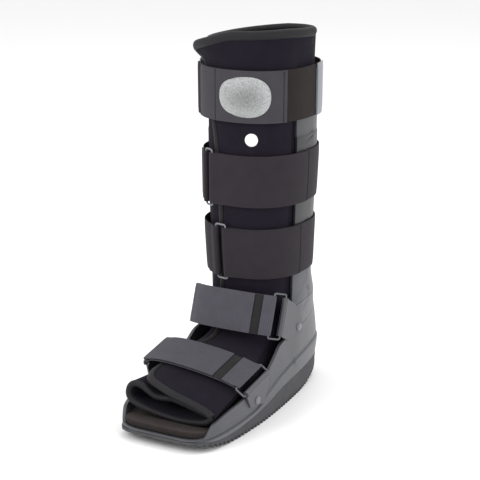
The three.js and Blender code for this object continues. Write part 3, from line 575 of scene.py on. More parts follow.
def foam_look(name, colour):
    """Open foam of the insole."""
    look = Look(name, colour, 0.95, specular=0.2)
    look.shade(look.cells(1.1), 0.7, 1.25)
    look.shade(look.noise(12, 3), 0.8, 1.2)
    # Painted shade darkens the insole's side and a slight painted highlight lightens its top
    look.shade(look.node("ShaderNodeAttribute", attribute_name="across").outputs["Fac"], 1.1, 0.55)
    look.bump(look.cells(1.1), 0.2)
    return look.material


def pump_look(name, colour):
    """Silvery rubber skin of the pump, with painted shade in its middle and a painted highlight towards
    its rim.
    """
    look = Look(name, colour, 0.42, specular=0.6)
    from_middle = look.node("ShaderNodeAttribute", attribute_name="across").outputs["Fac"]
    # Painted shade and highlight: darker in the middle and lighter towards the rim
    look.shade(look.math("POWER", from_middle, 1.6), 0.62, 1.3)
    speckle = look.node("ShaderNodeMapRange")
    speckle.inputs["From Min"].default_value = 0.38
    speckle.inputs["From Max"].default_value = 0.62
    look.link(look.noise(1.5, 2, 0.7), speckle.inputs["Value"])
    look.shade(speckle.outputs[0], 0.72, 1.2)
    look.bump(look.noise(1.2, 3, 0.7), 0.35)
    return look.material


# Pieces of the sole and shell


def shell_table():
    """Sections of the shell in millimetres, from the sole up the leg."""
    rows = []
    for z, toe, heel, ball, back, front, rear in SHELL_ROWS:
        sizes = (toe * TOE_REACH, heel * HEEL_REACH, ball * SOLE_HALF, back * HEEL_HALF)
        rows.append((z, *sizes, front, rear))
    for z in (HEEL_CUP_HEIGHT, 150, 220.7, 306.4, UPRIGHT_TOP + 1):
        front, back, half = (float(v) for v in leg_at(z))
        heel = back + SKIN + (HEEL_CUP_ROOM if z == HEEL_CUP_HEIGHT else 0)
        rows.append((z, front + SKIN, heel, half + SKIN, half + SKIN, LEG["square"], LEG["square"]))
    return rows


SHELL_TABLE = shell_table()


def shell_shape(z):
    """Toe, heel, ball, back, front and rear of the shell's outline at heights z."""
    return [smooth_table(SHELL_TABLE, z, c) for c in range(1, 7)]


def side_width(forward, ball, back):
    """Half width between the heel's and the ball's, by the place from heel (-1) to toe (1)."""
    t = np.clip((forward + 0.75) / 1.1, 0, 1)
    return back + (ball - back) * t * t * (3 - 2 * t)


def shell_half(y, z):
    """Half width of the shell's outside at places y and heights z."""
    toe, heel, ball, back, front, rear = shell_shape(z)
    middle, reach = (heel - toe) / 2, (heel + toe) / 2
    forward = np.clip((middle - y) / reach, -1, 1)
    square = np.where(forward > 0, front, rear)
    return side_width(forward, ball, back) * (1 - np.abs(forward) ** square) ** (1 / square)


def shell_point(theta, z, out=0.0):
    """Points round the shell at a height: theta 0 is the toe and half a turn the heel."""
    toe, heel, ball, back, front, rear = shell_shape(z)
    middle, reach = (heel - toe) / 2, (heel + toe) / 2 + out
    square = np.where(np.cos(theta) > 0, front, rear)
    forward = squared(np.cos(theta), square)
    x = (side_width(forward, ball, back) + out) * squared(np.sin(theta), square)
    return x, middle - reach * forward


def even_turns(count):
    """Angles that space points evenly round the shell."""
    theta = np.linspace(0, 2 * np.pi, 8001)
    x, y = shell_point(theta, np.full(theta.shape, MOULD_HEIGHT))
    length = np.concatenate([[0], np.cumsum(np.hypot(np.diff(x), np.diff(y)))])
    return np.interp(np.linspace(0, length[-1], count, endpoint=False), length, theta)


def wall_height(y):
    """Top edge of the shell's wall, with the rise behind the uprights down to the heel cup."""
    y = np.asarray(y, float)
    start, end = WALL_EDGE[-1][0], UPRIGHT_BACK + 1
    low = WALL_EDGE[-1][1]
    front = smooth_table(WALL_EDGE, y, 1)
    share = np.clip((y - UPRIGHT_FRONT) / (UPRIGHT_BACK - UPRIGHT_FRONT), 0, 1)
    rise = low + (ANKLE_HEIGHT - low) * share
    fall = np.exp(-np.maximum(0, y - end) / HEEL_FILLET)
    heel = HEEL_CUP_HEIGHT + (ANKLE_HEIGHT - HEEL_CUP_HEIGHT) * fall
    return np.where(y < start, front, np.where(y < end, np.maximum(front, rise), heel))


# Moulded step along the shell's side: its height, and its line as y and z
RIDGES = (
    (2.2, ((-231, 11), (-129, 19), (-97, 30), (-46, 42), (30, 50), (89, 53))),
)
# Two short lines above it: height at the leg's axis, and rise towards the heel
SHORT_LINES = ((113.8, 0.103), (83.2, 0.135))
RIDGE_START = 12
RIDGE_FADE = 26
GROOVE_DEPTH = 1.5


def ridge_relief(y, z):
    """How far the moulded steps raise the shell's side below each of their lines."""
    total = np.zeros(np.broadcast(y, z).shape)
    for height, line in RIDGES:
        level = smooth_table(line, y, 1)
        inside = np.clip((y - line[0][0]) / RIDGE_START, 0, 1)
        fade = np.clip(1 - (level - z) / RIDGE_FADE, 0.15, 1)
        total += height * inside * fade * below(z, level, 0.45)
        total -= GROOVE_DEPTH * inside * np.exp(-((z - level - 1.6) ** 2))
    return total


def below(z, level, softness):
    """1 under a level and 0 over it."""
    return 1 / (1 + np.exp(np.clip((z - level) / softness, -40, 40)))


def ridge_light(y, z):
    """1 on the upper edge of each moulded step, where the shell's look paints a highlight, falling to 0
    beside it.
    """
    total = np.zeros(np.broadcast(y, z).shape)
    for _, line in RIDGES:
        level = smooth_table(line, y, 1)
        inside = np.clip((y - line[0][0]) / RIDGE_START, 0, 1)
        total += inside * np.exp(-(((z - level + 0.9) / 0.9) ** 2))
    return np.clip(total, 0, 1)


# One lug of the tread: shares of its pitch and of the groove's depth
LUG = ((0.02, 0), (0.3, 0), (0.5, 0), (0.56, 0.9), (0.62, 1), (0.9, 1), (0.96, 0.9))
# The sole's side: shares of its height, and how far it stands out from the shell there
SOLE_SIDE = np.array([(0, -0.2), (0.12, 0.2), (0.5, 0.3), (0.9, 0.4), (1.0, 0)])
SOLE_FULL_HEIGHT = 24
SOLE_ACROSS = np.array([-0.97, -0.6, 0, 0.6, 0.97])


def build_outsole(look):
    """The rocker sole, with lugs cut across its underside."""
    settings = bpy.context.scene.boot_sizes
    lugs, depth = settings.lugs, settings.tread_depth * 1000
    ys, rises = [], []
    for i in range(lugs):
        for share, rise in LUG:
            ys.append(-TOE_REACH + (i + share) * (TOE_REACH + HEEL_REACH) / lugs)
            rises.append(rise)
    ys, rises = np.array(ys), np.array(rises)
    low, high = sole_at(ys, 1), sole_at(ys, 2)
    low = low + rises * np.minimum(depth, (high - low) / 2)
    rings = []
    for y, bottom, top in zip(ys, low, high):
        levels = bottom + (top - bottom) * SOLE_SIDE[:, 0]
        half = shell_half(np.full(len(levels), y), np.maximum(levels, SOLE_FULL_HEIGHT))
        half = np.maximum(half + SOLE_SIDE[:, 1], 0.5)
        ring = [(-h, y, z) for h, z in zip(half, levels)]
        ring += [(half[-1] * a, y, top) for a in SOLE_ACROSS]
        ring += [(h, y, z) for h, z in zip(half[::-1], levels[::-1])]
        ring += [(half[0] * a, y, bottom) for a in SOLE_ACROSS[::-1]]
        rings.append(ring)
    piece = add_grid("tread_sole", rings, look, "sole_rubber", ["outsole"])
    sharp_by_angle(piece, 35)
    return piece


WALL_COLUMNS = 420
WALL_ROWS = 110
UPRIGHT_ROWS = 160
MOULD_HEIGHT = 28.5


def build_shell(look):
    """The wall round the foot and heel, and the two uprights that go on from its top edge."""
    theta = even_turns(WALL_COLUMNS)
    y = shell_point(theta, np.full(WALL_COLUMNS, MOULD_HEIGHT))[1]
    for _ in range(6):
        top = wall_height(y)
        y = shell_point(theta, top)[1]
    under_upright = (y > UPRIGHT_FRONT - 5) & (y < UPRIGHT_BACK + 3)
    low_y = shell_point(theta, np.full(WALL_COLUMNS, 20.0))[1]
    low = sole_at(low_y, 2) + GAP
    top = np.maximum(top, low + 1.6)
    points = []
    for share in np.linspace(0, 1, WALL_ROWS + 1):
        z = low + (top - low) * share
        x, y_row = shell_point(theta, z)
        relief = ridge_relief(y_row, z) * np.where(under_upright, 1, 1 - share**12)
        scale = 1 + relief / np.maximum(np.hypot(x, 30), 30)
        points += list(np.stack([x * scale, y_row, z], -1))
    faces = grid_faces(WALL_ROWS + 1, WALL_COLUMNS)
    y_top = shell_point(theta, top)[1]
    for side in (1, -1):
        outer = side * np.sin(theta) > 0
        chosen = np.flatnonzero((y_top >= WALL_EDGE[-1][0]) & (y_top <= UPRIGHT_BACK + 1) & outer)
        chosen = chosen[np.argsort(y_top[chosen], kind="stable")]
        last = WALL_ROWS * WALL_COLUMNS + chosen
        for row in upright_rows(side, y_top[chosen], top[chosen]):
            here = np.arange(len(points), len(points) + len(chosen))
            points += list(row)
            faces += list(zip(last[:-1], last[1:], here[1:], here[:-1]))
            last = here
    points = np.array(points)
    piece = add_mesh("rigid_shell", points, faces, look, "shell_plastic", ["shell"])
    # Where the shell's look paints a highlight along each moulded step's upper edge
    set_attribute(piece, "across", ridge_light(points[:, 1], points[:, 2]))
    face_outward(piece)
    wall = piece.modifiers.new("wall", "SOLIDIFY")
    wall.thickness = bpy.context.scene.boot_sizes.shell_wall
    wall.offset = -1
    wall.use_even_offset = False
    edge = piece.modifiers.new("edge", "BEVEL")
    edge.width = 0.0009
    edge.segments = 2
    edge.limit_method = "ANGLE"
    edge.angle_limit = math.radians(60)
    return piece


def upright_rows(side, start, base):
    """Rows of points up one upright, from places start at heights base to its rounded top."""
    share = (start - start[0]) / (start[-1] - start[0])
    target = UPRIGHT_FRONT + (UPRIGHT_BACK - UPRIGHT_FRONT) * share
    edge = np.minimum(target - UPRIGHT_FRONT, UPRIGHT_BACK - target)
    hollow = np.sqrt(np.maximum(0, UPRIGHT_CORNER**2 - (UPRIGHT_CORNER - edge) ** 2))
    corner = np.where(edge < UPRIGHT_CORNER, UPRIGHT_CORNER - hollow, 0)
    for row in range(1, UPRIGHT_ROWS + 1):
        t = row / UPRIGHT_ROWS
        z = base + (UPRIGHT_TOP - corner - base) * t
        y = target + (start - target) * np.exp(-(z - base) / HEEL_FILLET)
        relief = ridge_relief(y, z) * (1 - (t > 0.97))
        step = STEP_HEIGHT * (below(z, UPRIGHT_STEP, 0.5) - 1)
        yield np.stack([side * (shell_half(y, z) + relief + step), y, z], -1)


# The insole's rounded side: shares of its thickness, and how far each lies inside its outline
INSOLE_SIDE = ((0, 1.0), (0.12, -0.6), (0.5, -0.8), (0.86, -0.6), (0.96, 0.2), (1, 1.4))
INSOLE_TOP = (8, 20, 36, 50)
INSOLE_INSET = 4.5


def build_insole(look):
    """The foam insole, with a rounded edge that shows at the open toe."""
    count = 240
    theta = even_turns(count)
    rings = []
    for share, inset in INSOLE_SIDE + tuple((1, inset) for inset in INSOLE_TOP):
        x, y = shell_point(theta, np.full(count, 26.0), -INSOLE_INSET - inset)
        z = floor_top_at(y) + GAP + share * INSOLE_THICKNESS
        rings.append(np.stack([x, y, z], -1))
    piece = add_grid("foam_insole", rings, look, "insole_foam", ["insole"])
    # 1 on the side, 0.7 on the rounded upper edge and 0 on the top: where the foam's look paints shade
    set_attribute(piece, "across", np.repeat([1, 1, 1, 0.7] + [0] * 6, count))
    sharp_by_angle(piece, 50)
    return piece


# Pieces of the liner


# Mean depth of the unevenness in the cloth's faces, in millimetres
CLOTH_ROUGHNESS = 0.35


def build_liner(look, binding_look):
    """The padded sock with its open toe, and the rolled edge round that opening."""
    places, sections = smooth_sections(tube_sections(FOOT_ROWS), 10)
    angles = np.linspace(0, 360, 144, endpoint=False)
    outside = section_point(sections[:, None, :], angles[None, :], 0.0)
    inside = section_point(sections[:, None, :], angles[None, :], -LINER_WALL)[::-1]
    rings = np.concatenate([outside, inside])
    puff = soft_noise(rings.reshape(-1, 3), 34, 3).reshape(rings.shape[:2])
    lift_toe_end(rings)
    centre = rings.mean(axis=1, keepdims=True)
    radial = rings - centre
    radial /= np.linalg.norm(radial, axis=-1, keepdims=True)
    inward = np.where(np.arange(len(rings)) < len(outside), 1, -1)[:, None, None]
    rings = rings - radial * (CLOTH_ROUGHNESS * (1 + puff))[..., None] * inward
    piece = add_grid("padded_liner", rings, look, "padded_cloth", ["liner"], loop=True)
    rim = (outside[-1] + inside[0]) / 2
    outs = outside[-1] - inside[0]
    rim[:, 1] -= 2.2
    lift_toe_end(rim)
    path = np.vstack([rim, rim[:1]])
    path, outs = even_path(path, np.vstack([outs, outs[:1]]), 2.2, 3)
    edge = tube(
        "liner_toe_edge", path[:-1], (4.8, 3.7), binding_look, "edge_binding", loop=True, outs=outs[:-1]
    )
    return edge


def lift_toe_end(points):
    """Raises the inner side of the liner's toe end, and lets its top sag in the middle."""
    y = points[..., 1]
    near = np.clip((-150 - y) / 45, 0, 1) ** 1.5
    inner = np.clip((12 - points[..., 0]) / 66, 0, 1) ** 1.4
    points[..., 2] += near * 11 * inner
    points[..., 1] -= near * 5 * inner
    points[..., 0] -= near * 2.5 * inner
    top = np.clip((points[..., 2] - 40) / 9, 0, 1)
    points[..., 2] -= near * top * 9 * np.exp(-(((points[..., 0] + 22) / 17) ** 2))


FLAP_IN = 1.1
FLAP_OUT = 4.0
BINDING_REACH = 3.6
BINDING_OUT = 2.7


def flap_frame(parts=10):
    """Smooth sections of the flap with its left and right edges, and the lip's share."""
    places, sections = smooth_sections(tube_sections(FOOT_ROWS[:-2] + FLAP_TOE_ROWS), parts)
    edges = np.column_stack([np.arange(len(FLAP_EDGES)), np.array(FLAP_EDGES)])
    left = smooth_table(edges, places, 1)
    right = smooth_table(edges, places, 2)
    lip = np.clip(1 - places, 0, 1) ** 1.5
    return places, sections, left, right, lip


def flap_point(sections, left, right, lip, share, out):
    """Points on the flap: share 0 is its free edge; the lip flares out and up at the collar."""
    angle = left + (right - left) * share
    inner = np.clip(-angle / 53, 0, 1)
    points = section_point(sections, angle, out + lip * (0.6 + 11 * inner**1.3))
    outer = np.clip((angle - 60) / 36, 0, 1)
    points[..., 2] += lip * (5 - 10 * inner - 3 * outer)
    return points


def build_flap(look):
    """The padded flap from the collar over the shin and instep to the toes."""
    places, sections, left, right, lip = flap_frame()
    shares = np.linspace(0, 1, 72)[None]
    grid = [a[:, None] for a in (left, right, lip)]
    row = sections[:, None, :]
    thin = 1 - np.minimum(shares * 20, 1)
    middle = flap_point(row, *grid, shares, FLAP_OUT)
    puff = soft_noise(middle.reshape(-1, 3), 40, 8).reshape(len(places), -1)
    outer = flap_point(row, *grid, shares, FLAP_OUT + 0.3 * puff - 0.9 * thin)
    inner = flap_point(row, *grid, shares, FLAP_IN + 0.5 * thin)[:, ::-1]
    rings = np.concatenate([outer, inner], axis=1)
    piece = add_grid("shin_and_toe_flap", rings, look, "padded_cloth", ["front_flap"])
    sharp_by_angle(piece, 60)
    return piece


def build_bindings(look):
    """The rolled bindings of the flap's edge and of the collar's rim."""
    places, sections, left, right, lip = flap_frame(12)

    def edge_line(row, *place, out):
        """Points on a line along the flap, and how they move outward."""
        line = flap_point(row, *place, out)
        return line, flap_point(row, *place, out + 1) - line

    # Along the lip from its outer end to the tip, down the free edge and round the toes
    lip_shares = np.linspace(1, 0, 60)
    top, top_outs = edge_line(sections[0], left[0], right[0], lip[0], lip_shares, out=2.6)
    top[:, 2] += BINDING_REACH
    free = np.zeros(len(places))
    down = flap_point(sections, left - BINDING_REACH * 57.3 / 60, right, lip, free, BINDING_OUT)
    down_outs = edge_line(sections, left - BINDING_REACH, right, lip, free, out=BINDING_OUT)[1]
    toe_shares = np.linspace(0, 0.93, 50)
    toe, toe_outs = edge_line(sections[-1], left[-1], right[-1], lip[-1], toe_shares, out=BINDING_OUT)
    toe[:, 1] -= BINDING_REACH
    path = np.concatenate([top[:-1], down[3:-3], toe[2:]])
    outs = np.concatenate([top_outs[:-1], down_outs[3:-3], toe_outs[2:]])
    path, outs = even_path(path, outs, 2.0, 10)
    at_lip = np.clip((path[:, 2] - 395) / 12, 0, 1)
    at_toes = np.clip((-150 - path[:, 1]) / 25, 0, 1)
    grown = 1 + 0.6 * at_lip + 0.4 * at_toes
    radii = (3.4 * grown, 2.5 * grown)
    piece = tube("flap_edge_binding", path, radii, look, "edge_binding", ["flap_binding"], outs=outs)
    angles = np.linspace(0, 360, 160, endpoint=False)
    rim = tube_sections(FOOT_ROWS)[0]
    path = section_point(rim, angles, -LINER_WALL / 2)
    path[:, 2] += 3.2
    outs = section_point(rim, angles, 1.0) - section_point(rim, angles, 0.0)
    stands_for = ["collar_binding"]
    piece = tube(
        "collar_rim_binding", path, (4.4, 3.8), look, "edge_binding", stands_for, loop=True, outs=outs
    )


def even_path(path, outs, step, smooth):
    """Resamples a path evenly and rounds its corners."""
    length = np.concatenate([[0], np.cumsum(np.linalg.norm(np.diff(path, axis=0), axis=1))])
    places = np.linspace(0, length[-1], int(length[-1] / step))
    path = np.stack([np.interp(places, length, path[:, i]) for i in range(3)], -1)
    outs = np.stack([np.interp(places, length, outs[:, i]) for i in range(3)], -1)
    for _ in range(smooth):
        path[1:-1] = (path[:-2] + 2 * path[1:-1] + path[2:]) / 4
        outs[1:-1] = (outs[:-2] + 2 * outs[1:-1] + outs[2:]) / 4
    return path, outs


# Straps and rings

TOP_STRAP_HEIGHT = 364
# Name, height, angle of the ring's near bar, angle of the tail's end, slot
LEG_STRAPS = (
    ("top", TOP_STRAP_HEIGHT, -62, -50, "brown_webbing"),
    ("upper", 267, -20, 88, "dark_strap"),
    ("lower", 182, -4, 81, "dark_strap"),
)
STRAP_LOOKS = {"brown_webbing": "boot_webbing", "dark_strap": "boot_dark_strap"}
LEG_STRAP_WIDTH = 59
RING_OVERHANG = 3


# Half turn that a strap makes round a ring's bar, in degrees
FOLD = tuple(range(90, -91, -18))
FOLD_RADIUS = LOOP_RADIUS - STRAP_THICKNESS / 2
RING_CORNER = 2.2
LEG_RING_SPAN = 12


def round_bar(angle, middle, side):
    """Path of a strap round a bar: angle, distance outward and shift along the leg's girth."""
    turns = [math.radians(a) for a in FOLD[::side]]
    return [(angle, middle + FOLD_RADIUS * math.sin(a), -side * FOLD_RADIUS * math.cos(a)) for a in turns]


def leg_strap_path(ring, tail, degree):
    """From the tail's free end round the ring, round the calf, and round the ring's other bar."""
    under = STRAP_IN + STRAP_THICKNESS / 2
    over = under + STRAP_THICKNESS
    bar = STRAP_IN + LOOP_RADIUS
    path = [(a, over, 0) for a in np.linspace(tail, ring + 12, max(8, int(abs(tail - ring) / 2)))]
    path += [(ring + 6, 8.6, 0), (ring + 3, 10.2, 0)]
    path += round_bar(ring, bar, 1)
    far = ring - LEG_RING_SPAN / degree + 360
    path += [(a, under, 0) for a in np.linspace(ring + 4, far - 4, 150)]
    path += round_bar(far, bar, -1)
    path += [(far - 3, 10.2, 0), (far - 6, 8.4, 0)]
    return path + [(a, over, 0) for a in np.linspace(far - 10, far - 19, 6)]


def wire_ring(name, corners, look, stands_for):
    """A bent wire ring through four corners."""
    wire = rounded_corners(corners, RING_CORNER)
    closed = np.vstack([wire, wire[:1]])
    wire = even_path(closed, closed, 1.5, 0)[0][:-1]
    radius = bpy.context.scene.boot_sizes.ring_wire * 500
    return tube(name, wire, (radius, radius), look, "ring_plastic", [stands_for], loop=True)


def build_leg_strap(name, height, ring, tail, slot, made):
    """One strap round the leg, its ring, and a dark tube of painted shadow just past its tail's end."""
    z = height + np.linspace(-0.5, 0.5, 9) * LEG_STRAP_WIDTH
    degree = math.radians(float(leg_at(height)[2]) + 8)
    path = leg_strap_path(ring, tail, degree)
    middle = np.array([leg_point(z, angle + shift / degree, out) for angle, out, shift in path])
    look = made[STRAP_LOOKS[slot]]
    ribbon(f"{name}_strap_webbing", middle, STRAP_THICKNESS, look, slot, [f"{name}_strap"])
    # A dark tube just past the tail's end: painted shadow of the tail's cut edge
    line_z = height + np.linspace(-0.49, 0.49, 60) * LEG_STRAP_WIDTH
    line = leg_point(line_z, tail + 0.6, 7.5)
    outs = leg_point(line_z, tail + 0.6, 8.5) - line
    tube(f"{name}_strap_tail_seam", line, (1.1, 1.0), made["boot_seam"], outs=outs, sides=10)
    reach = LEG_STRAP_WIDTH / 2 + RING_OVERHANG
    far = ring - LEG_RING_SPAN / degree
    spots = ((ring, -reach), (ring, reach), (far, reach), (far, -reach))
    corners = [leg_point(height + level, angle, STRAP_IN + LOOP_RADIUS) for angle, level in spots]
    wire_ring(f"{name}_strap_wire_ring", corners, made["boot_leg_ring"], f"{name}_strap_ring")


# y and z: place of the far bars' middle; lean: tilt of the strap's width; bulge and rise: how far
# and how steeply the arc stands out; tail and patch: angles at which the strap's two ends stop
FOOT_STRAPS = (
    {
        "name": "ankle", "y": -51, "z": 108, "lean": 19, "bulge": 33, "rise": 17,
        "skew": -0.1, "roll": -0.04, "width": 46, "tail": 31, "patch": 44, "rivet": (-20, 88),
    },
    {
        "name": "toe", "y": -127, "z": 59, "lean": 78, "bulge": 23, "rise": 54,
        "skew": 0, "roll": 0.105, "width": 50, "tail": 24, "patch": 36, "rivet": (-126, 33),
    },
)
# Angle of a foot ring's near bar on the inner and outer side, and its far bar
BAR_ANGLES = {-1: 71, 1: 62}
FAR_BAR = 90
# Millimetres of girth in a degree of a foot strap's arc
FOOT_DEGREE = 1.05
# Middle of the strap's doubled layer outside the line of the bars
OVER_OUT = 0.05


def tab_face(name):
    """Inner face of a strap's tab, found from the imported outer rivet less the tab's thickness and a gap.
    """
    low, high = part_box(f"{name}_rivet_outer")
    return low.x * 1000 - TAB_THICKNESS - GAP


def arc_point(strap, angle, out, along):
    """Points of a foot strap: angle round its arc, distance outside the bar, place across."""
    lean, rise = math.radians(strap["lean"]), math.radians(strap["rise"])
    half = tab_face(strap["name"]) + 1
    x = (half + out) * squared(np.sin(np.radians(angle)), LEG["square"])
    share = squared(np.cos(np.radians(angle)), LEG["square"])
    forward = share * (strap["bulge"] * math.cos(rise) + out * math.cos(lean))
    up = share * (strap["bulge"] * math.sin(rise) + out * math.sin(lean))
    y = strap["y"] + strap["skew"] * x - forward - along * math.sin(lean)
    z = strap["z"] - strap["roll"] * x + up - along * math.cos(lean)
    return np.stack(np.broadcast_arrays(x, y, z), -1)


def foot_strap_path(strap):
    """From the tail's free end round the inner ring, over the foot, and round the outer ring."""
    inner, outer = -BAR_ANGLES[-1], BAR_ANGLES[1]
    path = [(a, OVER_OUT, 0) for a in np.linspace(strap["tail"], inner + 12, 44)]
    path += [(inner + 6, 1.0, 0), (inner + 2.5, 2.2, 0)]
    path += round_bar(inner, 0, 1)
    path += [(a, -FOLD_RADIUS, 0) for a in np.linspace(inner + 4, outer - 4, 60)]
    path += round_bar(outer, 0, -1)
    path += [(outer - 2.5, 2.2, 0), (outer - 6, 1.0, 0)]
    return path + [(a, OVER_OUT, 0) for a in np.linspace(outer - 10, strap["patch"], 10)]


def build_foot_strap(strap, made):
    """One strap over the foot with its hook band, two rings, two tabs and two rivet heads."""
    name, width = strap["name"], strap["width"]
    along = np.linspace(-0.5, 0.5, 11) * width
    path = foot_strap_path(strap)
    middle = np.array([arc_point(strap, a + shift / FOOT_DEGREE, out, along) for a, out, shift in path])
    look = made["boot_ribbed_strap"]
    ribbon(f"{name}_strap_webbing", middle, STRAP_THICKNESS, look, "ribbed_strap", [f"{name}_strap"])
    angles = np.linspace(strap["tail"] - 2, strap["patch"] + 2, 14)
    band = np.array([arc_point(strap, a, -1.05, along * 0.985) for a in angles])
    ribbon(f"{name}_strap_hook_band", band, 0.9, made["boot_hook_band"])
    for side, word in ((1, "outer"), (-1, "inner")):
        near, far = side * BAR_ANGLES[side], side * FAR_BAR
        # The photo doesn't show the ankle strap's inner ring, so it ends inside the strap's edges
        overhang = -2.2 if name == "ankle" and side < 0 else RING_OVERHANG
        reach = width / 2 + overhang
        spots = ((near, -reach), (near, reach), (far, reach), (far, -reach))
        corners = [arc_point(strap, a, 0, place) for a, place in spots]
        wire_ring(f"{name}_wire_ring_{word}", corners, made["boot_ring"], f"{name}_ring_{word}")
        sleeve = arc_point(strap, far, 0, np.linspace(-0.42, 0.42, 24) * width)
        tube(f"{name}_tab_sleeve_{word}", sleeve, (2.5, 2.5), made["boot_tab"], "shell_plastic")
        build_rivet(strap, side, word, made["boot_rivet"])
        finish_node(f"{name}_tab_{word}", made["boot_tab"], 0.6)


# Radius of a rivet's head, and how far it stands outside its tab
RIVET_PROFILE = ((0.1, 1.5), (2.2, 1.42), (3.8, 1.1), (4.7, 0.6), (5.0, 0.1), (5.0, -0.3))
TAB_THICKNESS = 2


def build_rivet(strap, side, word, look):
    """The domed head of one rivet on the face of its tab."""
    turn = np.linspace(0, 2 * np.pi, 40, endpoint=False)
    face = side * (tab_face(strap["name"]) + TAB_THICKNESS + GAP)
    y, z = strap["rivet"]
    rings = []
    for radius, out in RIVET_PROFILE:
        x = np.full(len(turn), face + side * out)
        rings.append(np.stack([x, y + radius * np.cos(turn), z + radius * np.sin(turn)], -1))
    name = strap["name"]
    add_grid(f"{name}_rivet_head_{word}", rings, look, "shell_plastic", [f"{name}_rivet_{word}"])


def finish_node(name, look, bevel):
    """Gives a CAD node that stays in view a material and soft edges."""
    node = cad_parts[name]
    node.data.materials.clear()
    node.data.materials.append(look)
    edge = node.modifiers.new("edge", "BEVEL")
    edge.width = bevel / 1000
    edge.segments = 3
    edge.limit_method = "ANGLE"
    edge.angle_limit = math.radians(35)
    edge.harden_normals = False


# Pump, panel, button and keeper

PANEL_THICKNESS = 1.6
KEEPER_THICKNESS = 2.0


def leg_dome(name, spot, half_size, base, rise, square, look, slot, stands_for):
    """A dome on the leg: spot is height and angle, square 2 gives an elliptical outline."""
    turn = np.linspace(0, 2 * np.pi, 96, endpoint=False)
    height, angle = spot
    degree = math.radians(float(leg_at(height)[2]) + base)
    rings = []
    shares = np.concatenate([np.linspace(0.02, 0.9, 22), np.linspace(0.92, 1, 8)])
    for share in shares:
        lift = rise * (1 - share**2.4) ** 0.8
        across = half_size[0] * share * squared(np.cos(turn), square)
        z = height + half_size[1] * share * squared(np.sin(turn), square)
        rings.append(leg_point(z, angle + across / degree, base + lift))
    piece = add_grid(name, rings, look, slot, [stands_for])
    # Share from the dome's middle, which the pump's look uses for its painted shade and highlight
    set_attribute(piece, "across", np.repeat(shares, len(turn)))


def build_pump(made):
    """The pump on its panel with three seams, the valve button, and the keeper at the rear."""
    z = TOP_STRAP_HEIGHT + np.linspace(-0.5, 0.5, 9) * LEG_STRAP_WIDTH
    out = PANEL_IN + PANEL_THICKNESS / 2
    middle = np.array([leg_point(z, a, out) for a in np.linspace(-56, 58, 110)])
    panel_name = "pump_panel_cloth"
    ribbon(panel_name, middle, PANEL_THICKNESS, made["boot_panel"], panel_name, ["pump_panel"])
    line_z = TOP_STRAP_HEIGHT + np.linspace(-0.5, 0.5, 60) * (LEG_STRAP_WIDTH - 2)
    for number, angle in enumerate((-14.6, -52, 54)):
        line = leg_point(line_z, angle, PANEL_IN + 1.65)
        outs = leg_point(line_z, angle, PANEL_IN + 2.65) - line
        tube(f"panel_seam_{number}", line, (0.5, 0.25), made["boot_hook_band"], outs=outs, sides=8)
    spot, half_size = (TOP_STRAP_HEIGHT, 15.5), (28.5, 23)
    shape = (spot, half_size, PANEL_IN + 1.7, 7.6, 2.25)
    leg_dome("air_pump_dome", *shape, made["boot_pump"], "pump_skin", "air_pump")
    shape = ((315, 20), (7.5, 7.5), 4.4, 2.0, 2)
    leg_dome("valve_button_disc", *shape, made["boot_button"], "white_plastic", "valve_button")
    z = TOP_STRAP_HEIGHT + np.linspace(-0.5, 0.51, 9) * LEG_STRAP_WIDTH
    out = PANEL_IN + KEEPER_THICKNESS / 2
    middle = np.array([leg_point(z, a, out) for a in np.linspace(99, 119, 24)])
    look = made["boot_keeper"]
    ribbon("strap_keeper_plate", middle, KEEPER_THICKNESS, look, "keeper_plastic", ["strap_keeper"])


# Add-on


class BootSizes(bpy.types.PropertyGroup):
    """Sizes of the boot that a user would change."""

    lugs: bpy.props.IntProperty(
        name="Lugs",
        description="Number of tread lugs along the sole",
        default=46,
        min=8,
    )
    tread_depth: bpy.props.FloatProperty(
        name="Tread depth",
        description="Depth of the tread's grooves",
        unit="LENGTH",
        default=0.0036,
    )
    shell_wall: bpy.props.FloatProperty(
        name="Shell wall",
        description="Thickness of the rigid shell",
        unit="LENGTH",
        default=0.0036,
    )
    ring_wire: bpy.props.FloatProperty(
        name="Ring wire",
        description="Thickness of the straps' rings",
        unit="LENGTH",
        default=0.0023,
    )


class BootColours(bpy.types.PropertyGroup):
    """Colours of the boot that a user would change."""

    shell: bpy.props.FloatVectorProperty(
        name="Shell",
        description="Colour of the rigid shell",
        subtype="COLOR",
        size=3,
        default=(0.06, 0.061, 0.069),
    )
    cloth: bpy.props.FloatVectorProperty(
        name="Liner cloth",
        description="Colour of the padded liner and flap",
        subtype="COLOR",
        size=3,
        default=(0.010, 0.008, 0.014),
    )
    binding: bpy.props.FloatVectorProperty(
        name="Binding",
        description="Colour of the rolled bindings",
        subtype="COLOR",
        size=3,
        default=(0.0085, 0.0078, 0.0095),
    )
    dark_strap: bpy.props.FloatVectorProperty(
        name="Leg straps",
        description="Colour of the two lower leg straps",
        subtype="COLOR",
        size=3,
        default=(0.0205, 0.0168, 0.0215),
    )
    grey_strap: bpy.props.FloatVectorProperty(
        name="Foot straps",
        description="Colour of the ankle and toe straps",
        subtype="COLOR",
        size=3,
        default=(0.066, 0.064, 0.078),
    )
    pump: bpy.props.FloatVectorProperty(
        name="Pump",
        description="Colour of the air pump",
        subtype="COLOR",
        size=3,
        default=(0.3, 0.31, 0.31),
    )


